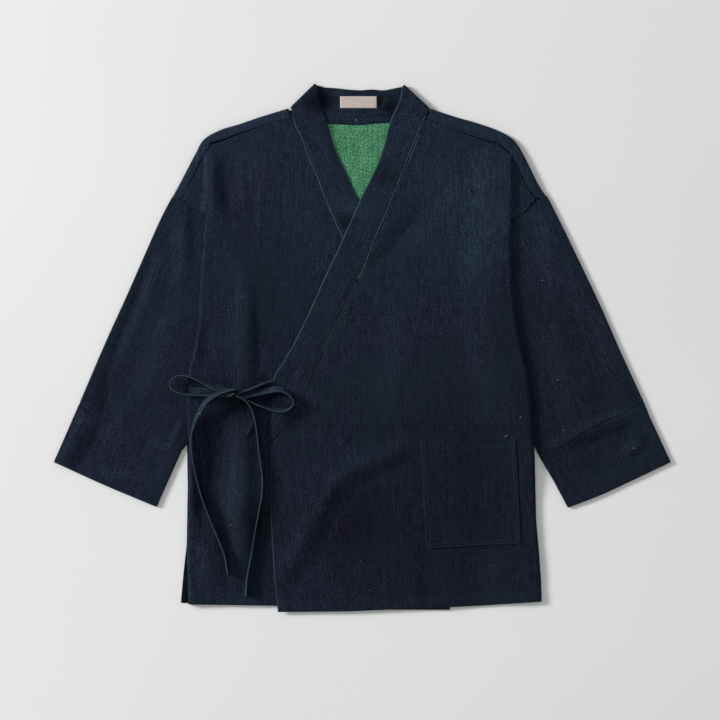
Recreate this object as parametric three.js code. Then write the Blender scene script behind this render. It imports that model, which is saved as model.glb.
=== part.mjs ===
// A wrap-front kimono jacket laid flat on its back, with its ties in a bow.
// Millimetres. +X is the viewer's right, +Y runs from hem to collar, +Z points up from the floor.
// The origin lies on the floor, below the middle of the jacket's outline.
import * as THREE from "three";

// Cloth sizes
const CLOTH = 1.2;
const BAND = 2.6;
const TAPE = 1.8;
const TAPE_WIDTH = 11;
const TAPE_BEVEL = 0.6;

// Distances between neighbouring pieces at their seams, across the cloth
const BAND_CLEARANCE = 1.4;
const ARMHOLE_CLEARANCE = 1.3;
const NECK_OVERLAP = 0.7;
const SHOULDER_CLEARANCE = { x: 0.9, y: 1.4 };
const LOBE_CLEARANCE = { x: 1, y: 0.5 };
const CUFF_CLEARANCE = { x: 0.3, y: -0.8 };
const LOBE_TOP_STEP = { x: 3, y: -4 };

// Heights of the layers above the floor, each at the middle of its cloth
const BACK_LEVEL = CLOTH / 2;
const UNDER_FRONT_LEVEL = 2.1;
const OVER_FRONT_LEVEL = 5.6;
const OVER_FRONT_LOW = 3.2;
const SLEEVE_HEIGHT = 4.4;
const SIDE_ROLL_LEVEL = 8.2;
const SHOULDER_ROLL = 2.5;
const LOBE_LEVEL = 4.4;
const LABEL_GAP = 0.3;
const POCKET_LIFT = 0.8;

// How far the fronts rise towards the shoulder, and between which heights they do so
const RIGHT_SHOULDER_RISE = { rise: 3, from: 210, to: 320 };
const LEFT_SHOULDER_RISE = { rise: 1.6, from: 230, to: 320 };

// The right front stands a little off the back, except where the left front presses it down
// between the x values of COVERED, and towards the shoulder.
const UNDER_FRONT_REST = 2.4;
const COVERED = { from: -150, to: -105 };
const REST_END = { share: 0.85, from: 235, to: 300 };

// The left front drops between these x values, where there is no right front below it
const OVER_FRONT_DROP = { from: 128, to: 176 };
const OVER_FRONT_DEEPEST = -0.6;
const SLEEVE_DEEPEST = -0.7;
const SLEEVE_EDGE = 16;

// Where a front folds round at the side: full height over the sleeve, easing off inside the body
const SIDE_ROLL = { start: 6, from: -8, to: 62, share: 0.35, halfBody: 252, width: 66, low: 215, high: 300 };
const LEFT_SIDE_RISE = 1.8;

// Named columns for the short tables below
function table(names, rows) {
  const keys = names.split(" ");
  return rows.map((row) => Object.fromEntries(keys.map((key, i) => [key, row[i]])));
}

// The right of the wearer is the viewer's left. Each line runs along one cut or folded edge of the cloth.
const RIGHT_SHOULDER_FOLD = table("x y", [
  [-277, 214], [-264, 238], [-242, 280], [-230, 301], [-206, 315], [-177, 324], [-148, 334], [-107, 346.5],
]);
const LEFT_SHOULDER_FOLD = table("x y", [
  [99, 346], [132, 335], [170, 324], [199, 313], [220, 300], [231, 284], [257, 233], [270, 214],
]);
const RIGHT_SHOULDER_SEAM = table("x y", [
  [-224, 288], [-219, 298], [-204, 301], [-178, 311], [-148, 321], [-119, 329], [-102, 332],
]);
const LEFT_SHOULDER_SEAM = table("x y", [
  [91.6, 330], [132, 317], [170, 304], [198, 296], [213, 284],
]);
const RIGHT_LOBE_SEAM = table("x y", [[-224, 287], [-236, 268], [-247, 245], [-260, 216]]);
const LEFT_LOBE_SEAM = table("x y", [[213, 283], [227, 260], [240, 232], [252, 217]]);
const RIGHT_STRIP_END = { x: -262, y: 217 };
const LEFT_STRIP_END = { x: 254, y: 218 };
const RIGHT_LOBE_HEM = table("x y", [[-227, 193], [-243, 203], [-260, 216]]);
const LEFT_LOBE_HEM = table("x y", [[214, 184], [236, 197], [252, 217]]);
const RIGHT_FOLD = table("x y", [
  [-252, -372], [-254, -288], [-251, -221], [-250, -163], [-251, -140], [-254, -79], [-252, -35],
  [-244, -5], [-238, 31], [-235, 87], [-230, 159], [-227, 193], [-225, 238], [-224, 284],
]);
const LEFT_FOLD = table("x y", [
  [260, -368], [259, -337], [256, -296], [252, -250], [250, -161], [245, -89], [240, -35],
  [231, -2], [223, 41], [219, 74], [216, 140], [214, 184], [214, 243], [213, 281],
]);
const RIGHT_ARMHOLE = table("x y", [
  [-190, 20], [-194, 90], [-206, 150], [-228, 191], [-252, 206], [-277, 214],
]);
const LEFT_ARMHOLE = table("x y", [
  [190, 20], [193, 90], [203, 150], [222, 186], [246, 203], [270, 214],
]);
const RIGHT_SLEEVE_FOLD = table("x y", [
  [-277, 214], [-291, 189], [-313, 140], [-342, 74], [-372, 8], [-410, -81],
]);
const LEFT_SLEEVE_FOLD = table("x y", [
  [270, 214], [287, 182], [316, 122], [345, 61], [374, -5], [408, -79],
]);
const RIGHT_UNDERARM = table("x y", [[-190, 20], [-223, -59], [-256, -138], [-262, -150]]);
const LEFT_UNDERARM = table("x y", [[190, 20], [220, -62], [251, -147], [255, -155]]);
const RIGHT_CUFF_SEAM = table("x y", [
  [-410, -81], [-385, -101], [-351, -111], [-325, -130], [-301, -141], [-262, -150],
]);
const LEFT_CUFF_SEAM = table("x y", [
  [408, -79], [390, -113], [352, -121], [326, -136], [285, -151], [255, -155],
]);
const RIGHT_CUFF_HEM = table("x y", [[-447, -166], [-372, -200], [-298, -231]]);
const LEFT_CUFF_HEM = table("x y", [[447, -166], [403, -187], [345, -214], [298, -232]]);
const RIGHT_CUFF_OUTER = table("x y", [[-410.3, -81.8], [-447, -166]]);
const LEFT_CUFF_OUTER = table("x y", [[408.3, -79.8], [417, -101], [447, -166]]);
const RIGHT_CUFF_INNER = table("x y", [[-262.3, -150.8], [-298, -231]]);
const LEFT_CUFF_INNER = table("x y", [[255.3, -155.8], [277, -193], [298, -232]]);
const BACK_HEM = table("x y", [[-263, -370], [-120, -371], [60, -371], [258, -367]]);
const RIGHT_BACK_SIDE = table("x y", [
  [-263, -370], [-259, -325], [-254.5, -285], [-253, -200], [-254.2, -138], [-222, -59], [-189.2, 20],
]);
const LEFT_BACK_SIDE = table("x y", [
  [258, -367], [257, -325], [253, -285], [250, -200], [249.4, -147], [219, -62], [189.2, 20],
]);
const UNDER_HEM = table("x y", [[-252, -372], [-122, -374], [26, -380], [127, -380]]);
const OVER_HEM = table("x y", [[-122, -383], [-18, -382], [75, -378], [171, -374], [260, -368]]);

// The vertical front edge of each front, from the hem up to where the collar band's seam begins
const UNDER_FRONT_EDGE = table("x y", [[127, -380], [126, -260], [122, -139]]);
const OVER_FRONT_EDGE = table("x y", [
  [-122, -383], [-128, -331], [-132, -259], [-134, -190], [-133.4, -143],
]);

// The collar band from the hidden end on the right front, round the neck, to its end on the left front.
// Each row is one place along it: seam side, free side, and the height of the middle of the band.
const UNDER_BAND = table("seamX seamY freeX freeY z", [
  [121.4, -134, 125, -130, 2.9], [104, -112, 125, -93, 2.9], [78, -62, 122, -46, 2.9], [43, 10, 88, 30, 2.9],
  [14, 69, 58, 92, 2.9], [-8, 113, 28, 141, 2.9], [-27, 154, 8, 190, 2.9], [-49, 202, -10, 225, 2.9],
  [-64, 241, -23, 254, 3.0], [-77, 270, -35, 278, 3.3], [-88, 301, -45, 303, 4.2], [-97, 320, -50, 323, 5.4],
  [-102, 335, -59, 345, 6.4],
]);
const RIGHT_COLLAR_FOLD = {
  seamX: -102, seamY: 345, freeX: -66, freeY: 380, outX: -0.7, outY: 0.7, startZ: 6.5, endZ: 1.3,
};
const LEFT_COLLAR_FOLD = {
  seamX: 96, seamY: 343, freeX: 58, freeY: 378, outX: 0.7, outY: 0.7, startZ: 1.3, endZ: 7.1,
};
const BACK_BAND = table("seamX seamY freeX freeY z", [
  [-80, 335.5, -55, 377, 1.3], [-52, 325.4, -38, 376, 1.3], [-26, 322.9, -20, 374, 1.3],
  [-3, 322.4, -3, 373, 1.3], [20, 324.6, 14, 374, 1.3], [42, 326.4, 31, 373, 1.3], [70, 334.5, 47, 376, 1.3],
]);
const OVER_BAND = table("seamX seamY freeX freeY z", [
  [93, 335, 55, 360, 7.0], [86, 322, 48, 344, 7.2], [79, 306, 40, 326, 7.2], [70, 282, 33, 298, 7.0],
  [60, 256, 24, 270, 6.8], [48, 225, 12, 244, 6.7], [35, 193, -1, 219, 6.7], [19, 157, -19, 178, 6.6],
  [5, 120, -37, 138, 6.4], [-11, 85, -55, 100, 6.2], [-30, 45, -77, 51, 6.2], [-49, 9, -97, 10, 6.2],
  [-66, -26, -114, -20, 6.2], [-81, -60, -128.5, -46, 6.2], [-105, -104, -131, -93, 6.2],
  [-128.2, -134.6, -132, -130, 6.2],
]);

// Soft folds: a line from (x0, y0) to (x1, y1), how wide it is, and how far it rises or sinks.
const UNDER_FOLDS = table("x0 y0 x1 y1 width rise", [
  [-205, 284, -187, 192, 16, 1.6], [-232, 60, -226, -45, 14, -1.0], [-153, 100, -153, -70, 12, -1.2],
  [-176, 110, -172, -60, 16, 1.8], [-179, -150, -179, -300, 16, 2.2], [-224, -90, -224, -205, 14, 1.2],
  [-158, -108, -172, -132, 5, 1.4], [-205, -240, -202, -372, 16, 0.8],
]);
const OVER_FOLDS = table("x0 y0 x1 y1 width rise", [
  [178, 292, 163, 189, 16, 1.6], [165, 205, 157, 80, 16, 1.4], [118, 205, 22, 112, 18, -1.2],
  [140, 230, 60, 150, 16, 1.4], [81, -140, -5, -182, 14, 2.6], [-5, -182, -40, -228, 13, 2.8],
  [-36, -220, -108, -346, 14, 2.4], [60, -158, -18, -206, 11, -1.4], [-20, -215, -70, -305, 11, -1.4],
  [60, 60, 40, -90, 22, 1.2], [165, 30, 172, -110, 20, 1.3], [40, -250, 60, -372, 24, 1.2],
  [190, -300, 186, -372, 16, 1.0],
]);
const RIGHT_SLEEVE_FOLDS = table("x0 y0 x1 y1 width rise", [
  [-247, 200, -247, 112, 12, 1.4], [-300, 126, -356, -4, 11, 1.6], [-270, 60, -330, -80, 18, 1.2],
  [-372, -60, -398, -106, 12, -0.8],
]);
const LEFT_SLEEVE_FOLDS = table("x0 y0 x1 y1 width rise", [
  [262, 190, 276, 80, 14, 1.4], [330, 60, 372, -40, 14, 1.2], [392, -104, 280, -140, 10, 1.4],
  [270, 20, 300, -90, 18, 1.0],
]);

// The ties: x, y, how far the tape stands above what it lies on, and its turn about its own length
const TIE_FRONT = table("x y lift tilt", [
  [-130.7, -49, -2.4, 6], [-138, -50.5, 1.6, 34], [-146, -53, 1.8, 60], [-157, -57.5, 2, 68],
  [-168.5, -61, 2.4, 70],
]);
const TIE_SIDE = table("x y lift tilt", [
  [-250, -62, 0.5, 0], [-240, -62.3, 0.5, 0], [-228, -62.8, 0.5, 2], [-216, -63.6, 0.5, 2],
  [-203, -64.5, 0.5, 2],
]);
const LOOP_RIGHT = table("x y lift tilt", [
  [-201.5, -61.5, 3.6, 14], [-212, -58.5, 3.6, 26], [-224, -53.5, 3.2, 56], [-238, -46.5, 1.6, 78],
  [-251, -41.5, 1.0, 84], [-262, -40, 0.9, 87], [-272, -43.5, 1.8, 90], [-277.5, -51, 2.2, 90],
  [-275, -59.5, 2.2, 91], [-267, -65.5, 1.4, 93], [-256, -69.5, 0.9, 96], [-242, -71.5, 0.9, 100],
  [-226, -73.5, 1.2, 128], [-213, -72.5, 2.6, 152], [-203, -70, 3.6, 166],
]);
const LOOP_LEFT = table("x y lift tilt", [
  [-167.5, -71, 7, 28], [-154, -68, 7, 26], [-140, -65, 6.4, 24], [-125, -62, 2.6, 26],
  [-113, -63, 2, 42], [-104, -69.5, 1.2, 66], [-99.5, -77.5, 0.8, 86], [-102.5, -86, 0.8, 96],
  [-112, -90.5, 0.8, 100], [-124, -90.5, 1, 104], [-138, -87.5, 4.4, 108], [-152, -83.5, 3.6, 112],
  [-165, -79.5, 3.6, 116],
]);
const TAIL_RIGHT = table("x y lift tilt", [
  [-199, -62.6, 11.6, 60], [-205, -65.2, 11.6, 60], [-214, -69.5, 11.6, 50], [-223.5, -76.5, 12, 44],
  [-230, -84.5, 9.6, 46], [-236, -94, 5.2, 54], [-242, -106.5, 2.4, 66], [-246, -121, 1.2, 74],
  [-247.6, -134, 0.8, 78], [-246.8, -148, 0.8, 80], [-244.5, -166, 0.8, 82], [-240, -189, 0.8, 82],
  [-233, -214, 0.8, 84], [-224, -239, 0.8, 84], [-215, -262, 0.8, 80], [-206, -283, 0.8, 82],
  [-199, -302, 0.8, 78], [-195, -328, 0.8, 74],
]);
const TAIL_LEFT = table("x y lift tilt", [
  [-165.5, -86, 4, 60], [-160.5, -94, 2, 72], [-156, -105, 0.8, 80], [-152.8, -121, 0.8, 84],
  [-150, -146, 0.8, 84], [-147, -168, 0.8, 82], [-144.5, -190, 0.8, 78], [-145.5, -214, 0.8, 80],
  [-150, -240, 0.8, 84], [-155, -266, 0.8, 84], [-159, -290, 0.8, 84], [-163, -312, 0.8, 82],
  [-167, -334, 0.8, 80], [-169, -359, 0.8, 70],
]);
const KNOT = {
  x: -184.5, y: -66.5, halfLength: 14, halfWidth: 8.5, halfHeight: 7, turn: -0.25, lift: 0.9, square: 0.72,
};

// The ties lie on the right front up to the band's end at this x, and on the left front beyond it.
const BAND_END_X = -132;
const BAND_END_Z = 6.2;
const SIDE_SEAM_X = -250;

// Pocket and sewn-in tabs
const POCKET = { topLeft: [84, -135], topRight: [222, -130], lowRight: [230, -284], lowLeft: [92, -291] };
const LABEL = { x: -32, y: 347, width: 53, height: 17 };
const SIZE_TAB = { x: 21.5, y: 350, width: 6, height: 13 };
const TAB_THICKNESS = 1;

// Finishes
const INDIGO = new THREE.Color(0.012, 0.022, 0.045);
const BEIGE = new THREE.Color(0.5, 0.42, 0.37);
const DARK = new THREE.Color(0.03, 0.03, 0.04);
const CLOTH_ROUGHNESS = 0.86;
const TAPE_ROUGHNESS = 0.8;

const garment = new THREE.Group();

// Smooth curve through the rows of a table, at a share t of its length
function along(rows) {
  const flat = rows.map((row) => new THREE.Vector3(row.x, row.y, 0));
  const curve = new THREE.CatmullRomCurve3(flat, false, "centripetal");
  curve.arcLengthDivisions = 400;
  return (t) => {
    const p = curve.getPointAt(Math.min(1, Math.max(0, t)));
    return [p.x, p.y];
  };
}

// Straight lines through the rows, where an edge has real corners
function straight(rows) {
  const steps = rows.slice(1).map((row, i) => Math.hypot(row.x - rows[i].x, row.y - rows[i].y));
  const total = steps.reduce((sum, step) => sum + step, 0);
  return (t) => {
    let left = Math.min(1, Math.max(0, t)) * total;
    let i = 0;
    while (i < steps.length - 1 && left > steps[i]) {
      left -= steps[i];
      i += 1;
    }
    const share = steps[i] > 0 ? left / steps[i] : 0;
    return [
      rows[i].x + share * (rows[i + 1].x - rows[i].x),
      rows[i].y + share * (rows[i + 1].y - rows[i].y),
    ];
  };
}

// Patch between four edges: low and high run left to right, near and far run upward
function coons(low, high, near, far) {
  const corner = [low(0), low(1), high(0), high(1)];
  return (u, v) =>
    [0, 1].map(
      (k) =>
        (1 - v) * low(u)[k] + v * high(u)[k] + (1 - u) * near(v)[k] + u * far(v)[k] -
        (1 - u) * (1 - v) * corner[0][k] - u * (1 - v) * corner[1][k] -
        (1 - u) * v * corner[2][k] - u * v * corner[3][k],
    );
}

function smoothstep(low, high, value) {
  const t = Math.min(1, Math.max(0, (value - low) / (high - low)));
  return t * t * (3 - 2 * t);
}

// Height of the soft folds at a place: each is a rounded ridge or trough that fades at both ends
function relief(folds, x, y) {
  return folds.reduce((sum, fold) => {
    const dx = fold.x1 - fold.x0;
    const dy = fold.y1 - fold.y0;
    const length = Math.hypot(dx, dy);
    const t = ((x - fold.x0) * dx + (y - fold.y0) * dy) / (length * length);
    const side = Math.abs((x - fold.x0) * dy - (y - fold.y0) * dx) / length;
    const fade = smoothstep(-0.25, 0.25, t) * (1 - smoothstep(0.75, 1.25, t));
    return sum + fold.rise * fade * Math.exp(-((side / fold.width) ** 2));
  }, 0);
}

// Cloth wall: a grid of middle points with a thickness, closed at every edge where the cells end.
// present(i, j) says whether the cell between columns i, i+1 and rows j, j+1 is cloth.
function wall(points, thickness, options = {}) {
  const rows = points.length;
  const columns = points[0].length;
  const around = options.around === true;
  const present = options.present ?? (() => true);
  const place = points.map((row) => row.map((p) => new THREE.Vector3(...p)));
  const upper = [];
  const lower = [];
  const wrap = (i) => (around ? (i + columns) % columns : Math.min(columns - 1, Math.max(0, i)));
  const inCloth = (i, j) => {
    const inside = j >= 0 && j < rows - 1 && (around || (i >= 0 && i < columns - 1));
    return inside && present(around ? wrap(i) : i, j);
  };
  for (let j = 0; j < rows; j += 1) {
    for (let i = 0; i < columns; i += 1) {
      const normal = new THREE.Vector3();
      for (const [a, b] of [[-1, -1], [0, -1], [-1, 0], [0, 0]]) {
        if (!inCloth(i + a, j + b)) continue;
        const p = place[j + b][wrap(i + a)];
        const q = place[j + b][wrap(i + a + 1)];
        const r = place[j + b + 1][wrap(i + a + 1)];
        const s = place[j + b + 1][wrap(i + a)];
        const cross = r.clone().sub(p).cross(s.clone().sub(q));
        normal.add(cross.normalize());
      }
      if (normal.lengthSq() < 1e-9) normal.set(0, 0, 1);
      normal.normalize().multiplyScalar(thickness / 2);
      upper.push(place[j][i].clone().add(normal));
      lower.push(place[j][i].clone().sub(normal));
    }
  }
  const positions = [...upper, ...lower].flatMap((p) => [p.x, p.y, p.z]);
  const index = [];
  const top = (i, j) => j * columns + wrap(i);
  const under = (i, j) => rows * columns + j * columns + wrap(i);
  const quad = (a, b, c, d) => index.push(a, b, c, a, c, d);
  for (let j = 0; j < rows - 1; j += 1) {
    for (let i = 0; i < (around ? columns : columns - 1); i += 1) {
      if (!inCloth(i, j)) continue;
      quad(top(i, j), top(i + 1, j), top(i + 1, j + 1), top(i, j + 1));
      quad(under(i, j), under(i, j + 1), under(i + 1, j + 1), under(i + 1, j));
      if (!inCloth(i, j - 1)) quad(top(i, j), under(i, j), under(i + 1, j), top(i + 1, j));
      if (!inCloth(i, j + 1)) {
        quad(top(i + 1, j + 1), under(i + 1, j + 1), under(i, j + 1), top(i, j + 1));
      }
      if (!inCloth(i - 1, j)) quad(top(i, j + 1), under(i, j + 1), under(i, j), top(i, j));
      if (!inCloth(i + 1, j)) {
        quad(top(i + 1, j), under(i + 1, j), under(i + 1, j + 1), top(i + 1, j + 1));
      }
    }
  }
  return solid(positions, index);
}

// Geometry from positions and faces, without the points that no face uses
function solid(positions, index) {
  const used = new Map();
  const kept = [];
  const faces = index.map((old) => {
    if (!used.has(old)) {
      used.set(old, used.size);
      kept.push(...positions.slice(3 * old, 3 * old + 3));
    }
    return used.get(old);
  });
  const geometry = new THREE.BufferGeometry();
  geometry.setAttribute("position", new THREE.Float32BufferAttribute(kept, 3));
  geometry.setIndex(faces);
  geometry.computeVertexNormals();
  return geometry;
}

function add(name, geometry, color, roughness) {
  const material = new THREE.MeshStandardMaterial({ color, roughness, metalness: 0 });
  const mesh = new THREE.Mesh(geometry, material);
  mesh.name = name;
  garment.add(mesh);
}

function grid(columns, rows, place) {
  return Array.from({ length: rows + 1 }, (_, j) =>
    Array.from({ length: columns + 1 }, (__, i) => place(i / columns, j / rows, i, j)),
  );
}

// How far a place lies inside the body from the armhole and underarm line of one sleeve
function insideSleeveLine(side, x, y) {
  const line = side < 0 ? [...RIGHT_UNDERARM].reverse() : [...LEFT_UNDERARM].reverse();
  const armhole = side < 0 ? RIGHT_ARMHOLE : LEFT_ARMHOLE;
  const rows = [...line.slice(0, -1), ...armhole];
  let i = 0;
  while (i < rows.length - 2 && y > rows[i + 1].y) i += 1;
  const t = (y - rows[i].y) / (rows[i + 1].y - rows[i].y);
  const lineX = rows[i].x + t * (rows[i + 1].x - rows[i].x);
  return side < 0 ? x - lineX : lineX - x;
}

// Share of the side's height at a place: 1 where a front folds over a sleeve, 0 well inside the body
function sideRoll(side, x, y) {
  const roll = SIDE_ROLL;
  const over = 1 - smoothstep(roll.from, roll.to, insideSleeveLine(side, x, y) - roll.start);
  const nearSide = 1 - smoothstep(0, roll.width, roll.halfBody - Math.abs(x));
  return Math.max(over, roll.share * nearSide) * (1 - smoothstep(roll.low, roll.high, y));
}

function underFrontHeight(x, y) {
  const roll = sideRoll(-1, x, y);
  const shoulder = RIGHT_SHOULDER_RISE;
  const rest = 1 - REST_END.share * smoothstep(REST_END.from, REST_END.to, y);
  const bare = (1 - smoothstep(COVERED.from, COVERED.to, x)) * rest;
  const folds = (relief(UNDER_FOLDS, x, y) + UNDER_FRONT_REST) * bare;
  const level = UNDER_FRONT_LEVEL + roll * (SIDE_ROLL_LEVEL - UNDER_FRONT_LEVEL);
  return level + shoulder.rise * smoothstep(shoulder.from, shoulder.to, y) + Math.max(0, folds);
}

function overFrontHeight(x, y) {
  const roll = sideRoll(1, x, y);
  const shoulder = LEFT_SHOULDER_RISE;
  const inner = 1 - smoothstep(OVER_FRONT_DROP.from, OVER_FRONT_DROP.to, x);
  const base = OVER_FRONT_LOW + inner * (OVER_FRONT_LEVEL - OVER_FRONT_LOW);
  const level = base + roll * (SIDE_ROLL_LEVEL + LEFT_SIDE_RISE - base);
  const folds = Math.max(OVER_FRONT_DEEPEST, relief(OVER_FOLDS, x, y));
  return level + shoulder.rise * smoothstep(shoulder.from, shoulder.to, y) + folds;
}

// Front panel: the main patch from the side fold to the front edge, and the lobe beyond the fold,
// which drops to the sleeve and ends at the armhole seam.
function frontPanel(side, parts) {
  const columns = 17;
  const rows = parts.rows;
  const lobeColumns = 3;
  const fold = straight(parts.fold);
  const edge = straight(parts.edge);
  const near = (t) => (side < 0 ? fold(parts.rowShare(t)) : edge(parts.edgeShare(t)));
  const far = (t) => (side < 0 ? edge(parts.edgeShare(t)) : fold(parts.rowShare(t)));
  const body = coons(straight(parts.hem), straight(parts.seam), near, far);
  const lobe = coons(
    straight(parts.lobeHem), straight(parts.lobeTop),
    straight(parts.foldAtLobe), straight(parts.lobeSeam),
  );
  const shape = (u, v) => (side < 0 ? body(u, v) : body(1 - u, v));
  const firstLobeRow = parts.firstLobeRow;
  const lowestFoldY = parts.foldAtLobe[0].y;
  const points = [];
  for (let j = 0; j <= rows; j += 1) {
    const row = [];
    const v = j / rows;
    for (let i = -lobeColumns; i <= columns; i += 1) {
      if (i >= 0) {
        const [x, y] = shape(i / columns, v);
        row.push([x, y, parts.height(x, y)]);
      } else {
        const w = Math.max(0, (j - firstLobeRow) / (rows - firstLobeRow));
        const foldY = shape(0, v)[1];
        const topY = shape(0, 1)[1];
        const share = w > 0 ? (foldY - lowestFoldY) / (topY - lowestFoldY) : 0;
        const [x, y] = lobe(-i / lobeColumns, Math.max(0, share));
        const drop = smoothstep(0, 10, Math.abs(x - shape(0, v)[0]));
        const high = parts.height(shape(0, v)[0], y);
        row.push([x, y, high + drop * (parts.lobeLevel - high) * (1 - smoothstep(0.7, 1, share))]);
      }
    }
    points.push(side < 0 ? row : row.reverse());
  }
  const lobeEnd = side < 0 ? (i) => i < lobeColumns : (i) => i >= columns;
  return wall(points, CLOTH, { present: (i, j) => !lobeEnd(i) || j >= firstLobeRow });
}

// Share of a line's length at which its row number count is reached
function shareAt(rows, count) {
  const steps = rows.slice(1).map((row, i) => Math.hypot(row.x - rows[i].x, row.y - rows[i].y));
  const sum = (list) => list.reduce((total, step) => total + step, 0);
  return sum(steps.slice(0, count)) / sum(steps);
}

// Even steps up to a corner and even steps beyond it, so that a row of the grid ends on the corner
function splitShare(t, cornerAt, cornerShare) {
  if (t <= cornerAt) return (t / cornerAt) * cornerShare;
  return cornerShare + ((t - cornerAt) / (1 - cornerAt)) * (1 - cornerShare);
}

function front(side, parts) {
  const firstLobeRow = 18;
  const frontEdgeRows = 7;
  const rows = 24;
  const lobeRow = parts.fold.findIndex((row) => row.y >= parts.lobeHem[0].y);
  const foldShare = shareAt(parts.fold, lobeRow);
  const cornerShare = shareAt(parts.edge, parts.frontEdgeCount - 1);
  const rowShare = (t) => splitShare(t, firstLobeRow / rows, foldShare);
  const edgeShare = (t) => splitShare(t, frontEdgeRows / rows, cornerShare);
  const lobeFoldRows = parts.fold.filter((row) => row.y >= parts.lobeHem[0].y);
  const lobeSeam = [...parts.lobeSeam].reverse();
  const top = lobeFoldRows[lobeFoldRows.length - 1];
  const seamTop = lobeSeam[lobeSeam.length - 1];
  const lobeTop = [top, { x: seamTop.x + side * LOBE_TOP_STEP.x, y: seamTop.y + LOBE_TOP_STEP.y }];
  const seamRows = [...lobeSeam.slice(0, -1), lobeTop[1]];
  return frontPanel(side, {
    ...parts, rows, rowShare, edgeShare, firstLobeRow, lobeTop,
    lobeSeam: seamRows, foldAtLobe: lobeFoldRows, lobeLevel: LOBE_LEVEL,
  });
}

// A front's inner edge: its front edge, then along the band's seam, held clear of it by the seam gap
function innerEdge(side, frontEdge, band, neckEnd) {
  const seam = band.map((row) => {
    const length = Math.hypot(row.seamX - row.freeX, row.seamY - row.freeY);
    const clear = BAND_CLEARANCE / length;
    return {
      x: row.seamX + clear * (row.seamX - row.freeX), y: row.seamY + clear * (row.seamY - row.freeY),
    };
  });
  const upward = side < 0 ? seam : seam.reverse();
  return [...frontEdge, ...upward.slice(1, -1), neckEnd];
}

add("right_front", front(-1, {
  fold: RIGHT_FOLD, hem: UNDER_HEM, seam: RIGHT_SHOULDER_SEAM,
  edge: innerEdge(-1, UNDER_FRONT_EDGE, UNDER_BAND, RIGHT_SHOULDER_SEAM.at(-1)),
  lobeHem: RIGHT_LOBE_HEM, lobeSeam: RIGHT_LOBE_SEAM, height: underFrontHeight,
  frontEdgeCount: UNDER_FRONT_EDGE.length,
}), INDIGO, CLOTH_ROUGHNESS);
add("left_front", front(1, {
  fold: LEFT_FOLD, hem: OVER_HEM, seam: LEFT_SHOULDER_SEAM,
  edge: innerEdge(1, OVER_FRONT_EDGE, OVER_BAND, LEFT_SHOULDER_SEAM[0]),
  lobeHem: LEFT_LOBE_HEM, lobeSeam: LEFT_LOBE_SEAM, height: overFrontHeight,
  frontEdgeCount: OVER_FRONT_EDGE.length,
}), INDIGO, CLOTH_ROUGHNESS);

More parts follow.
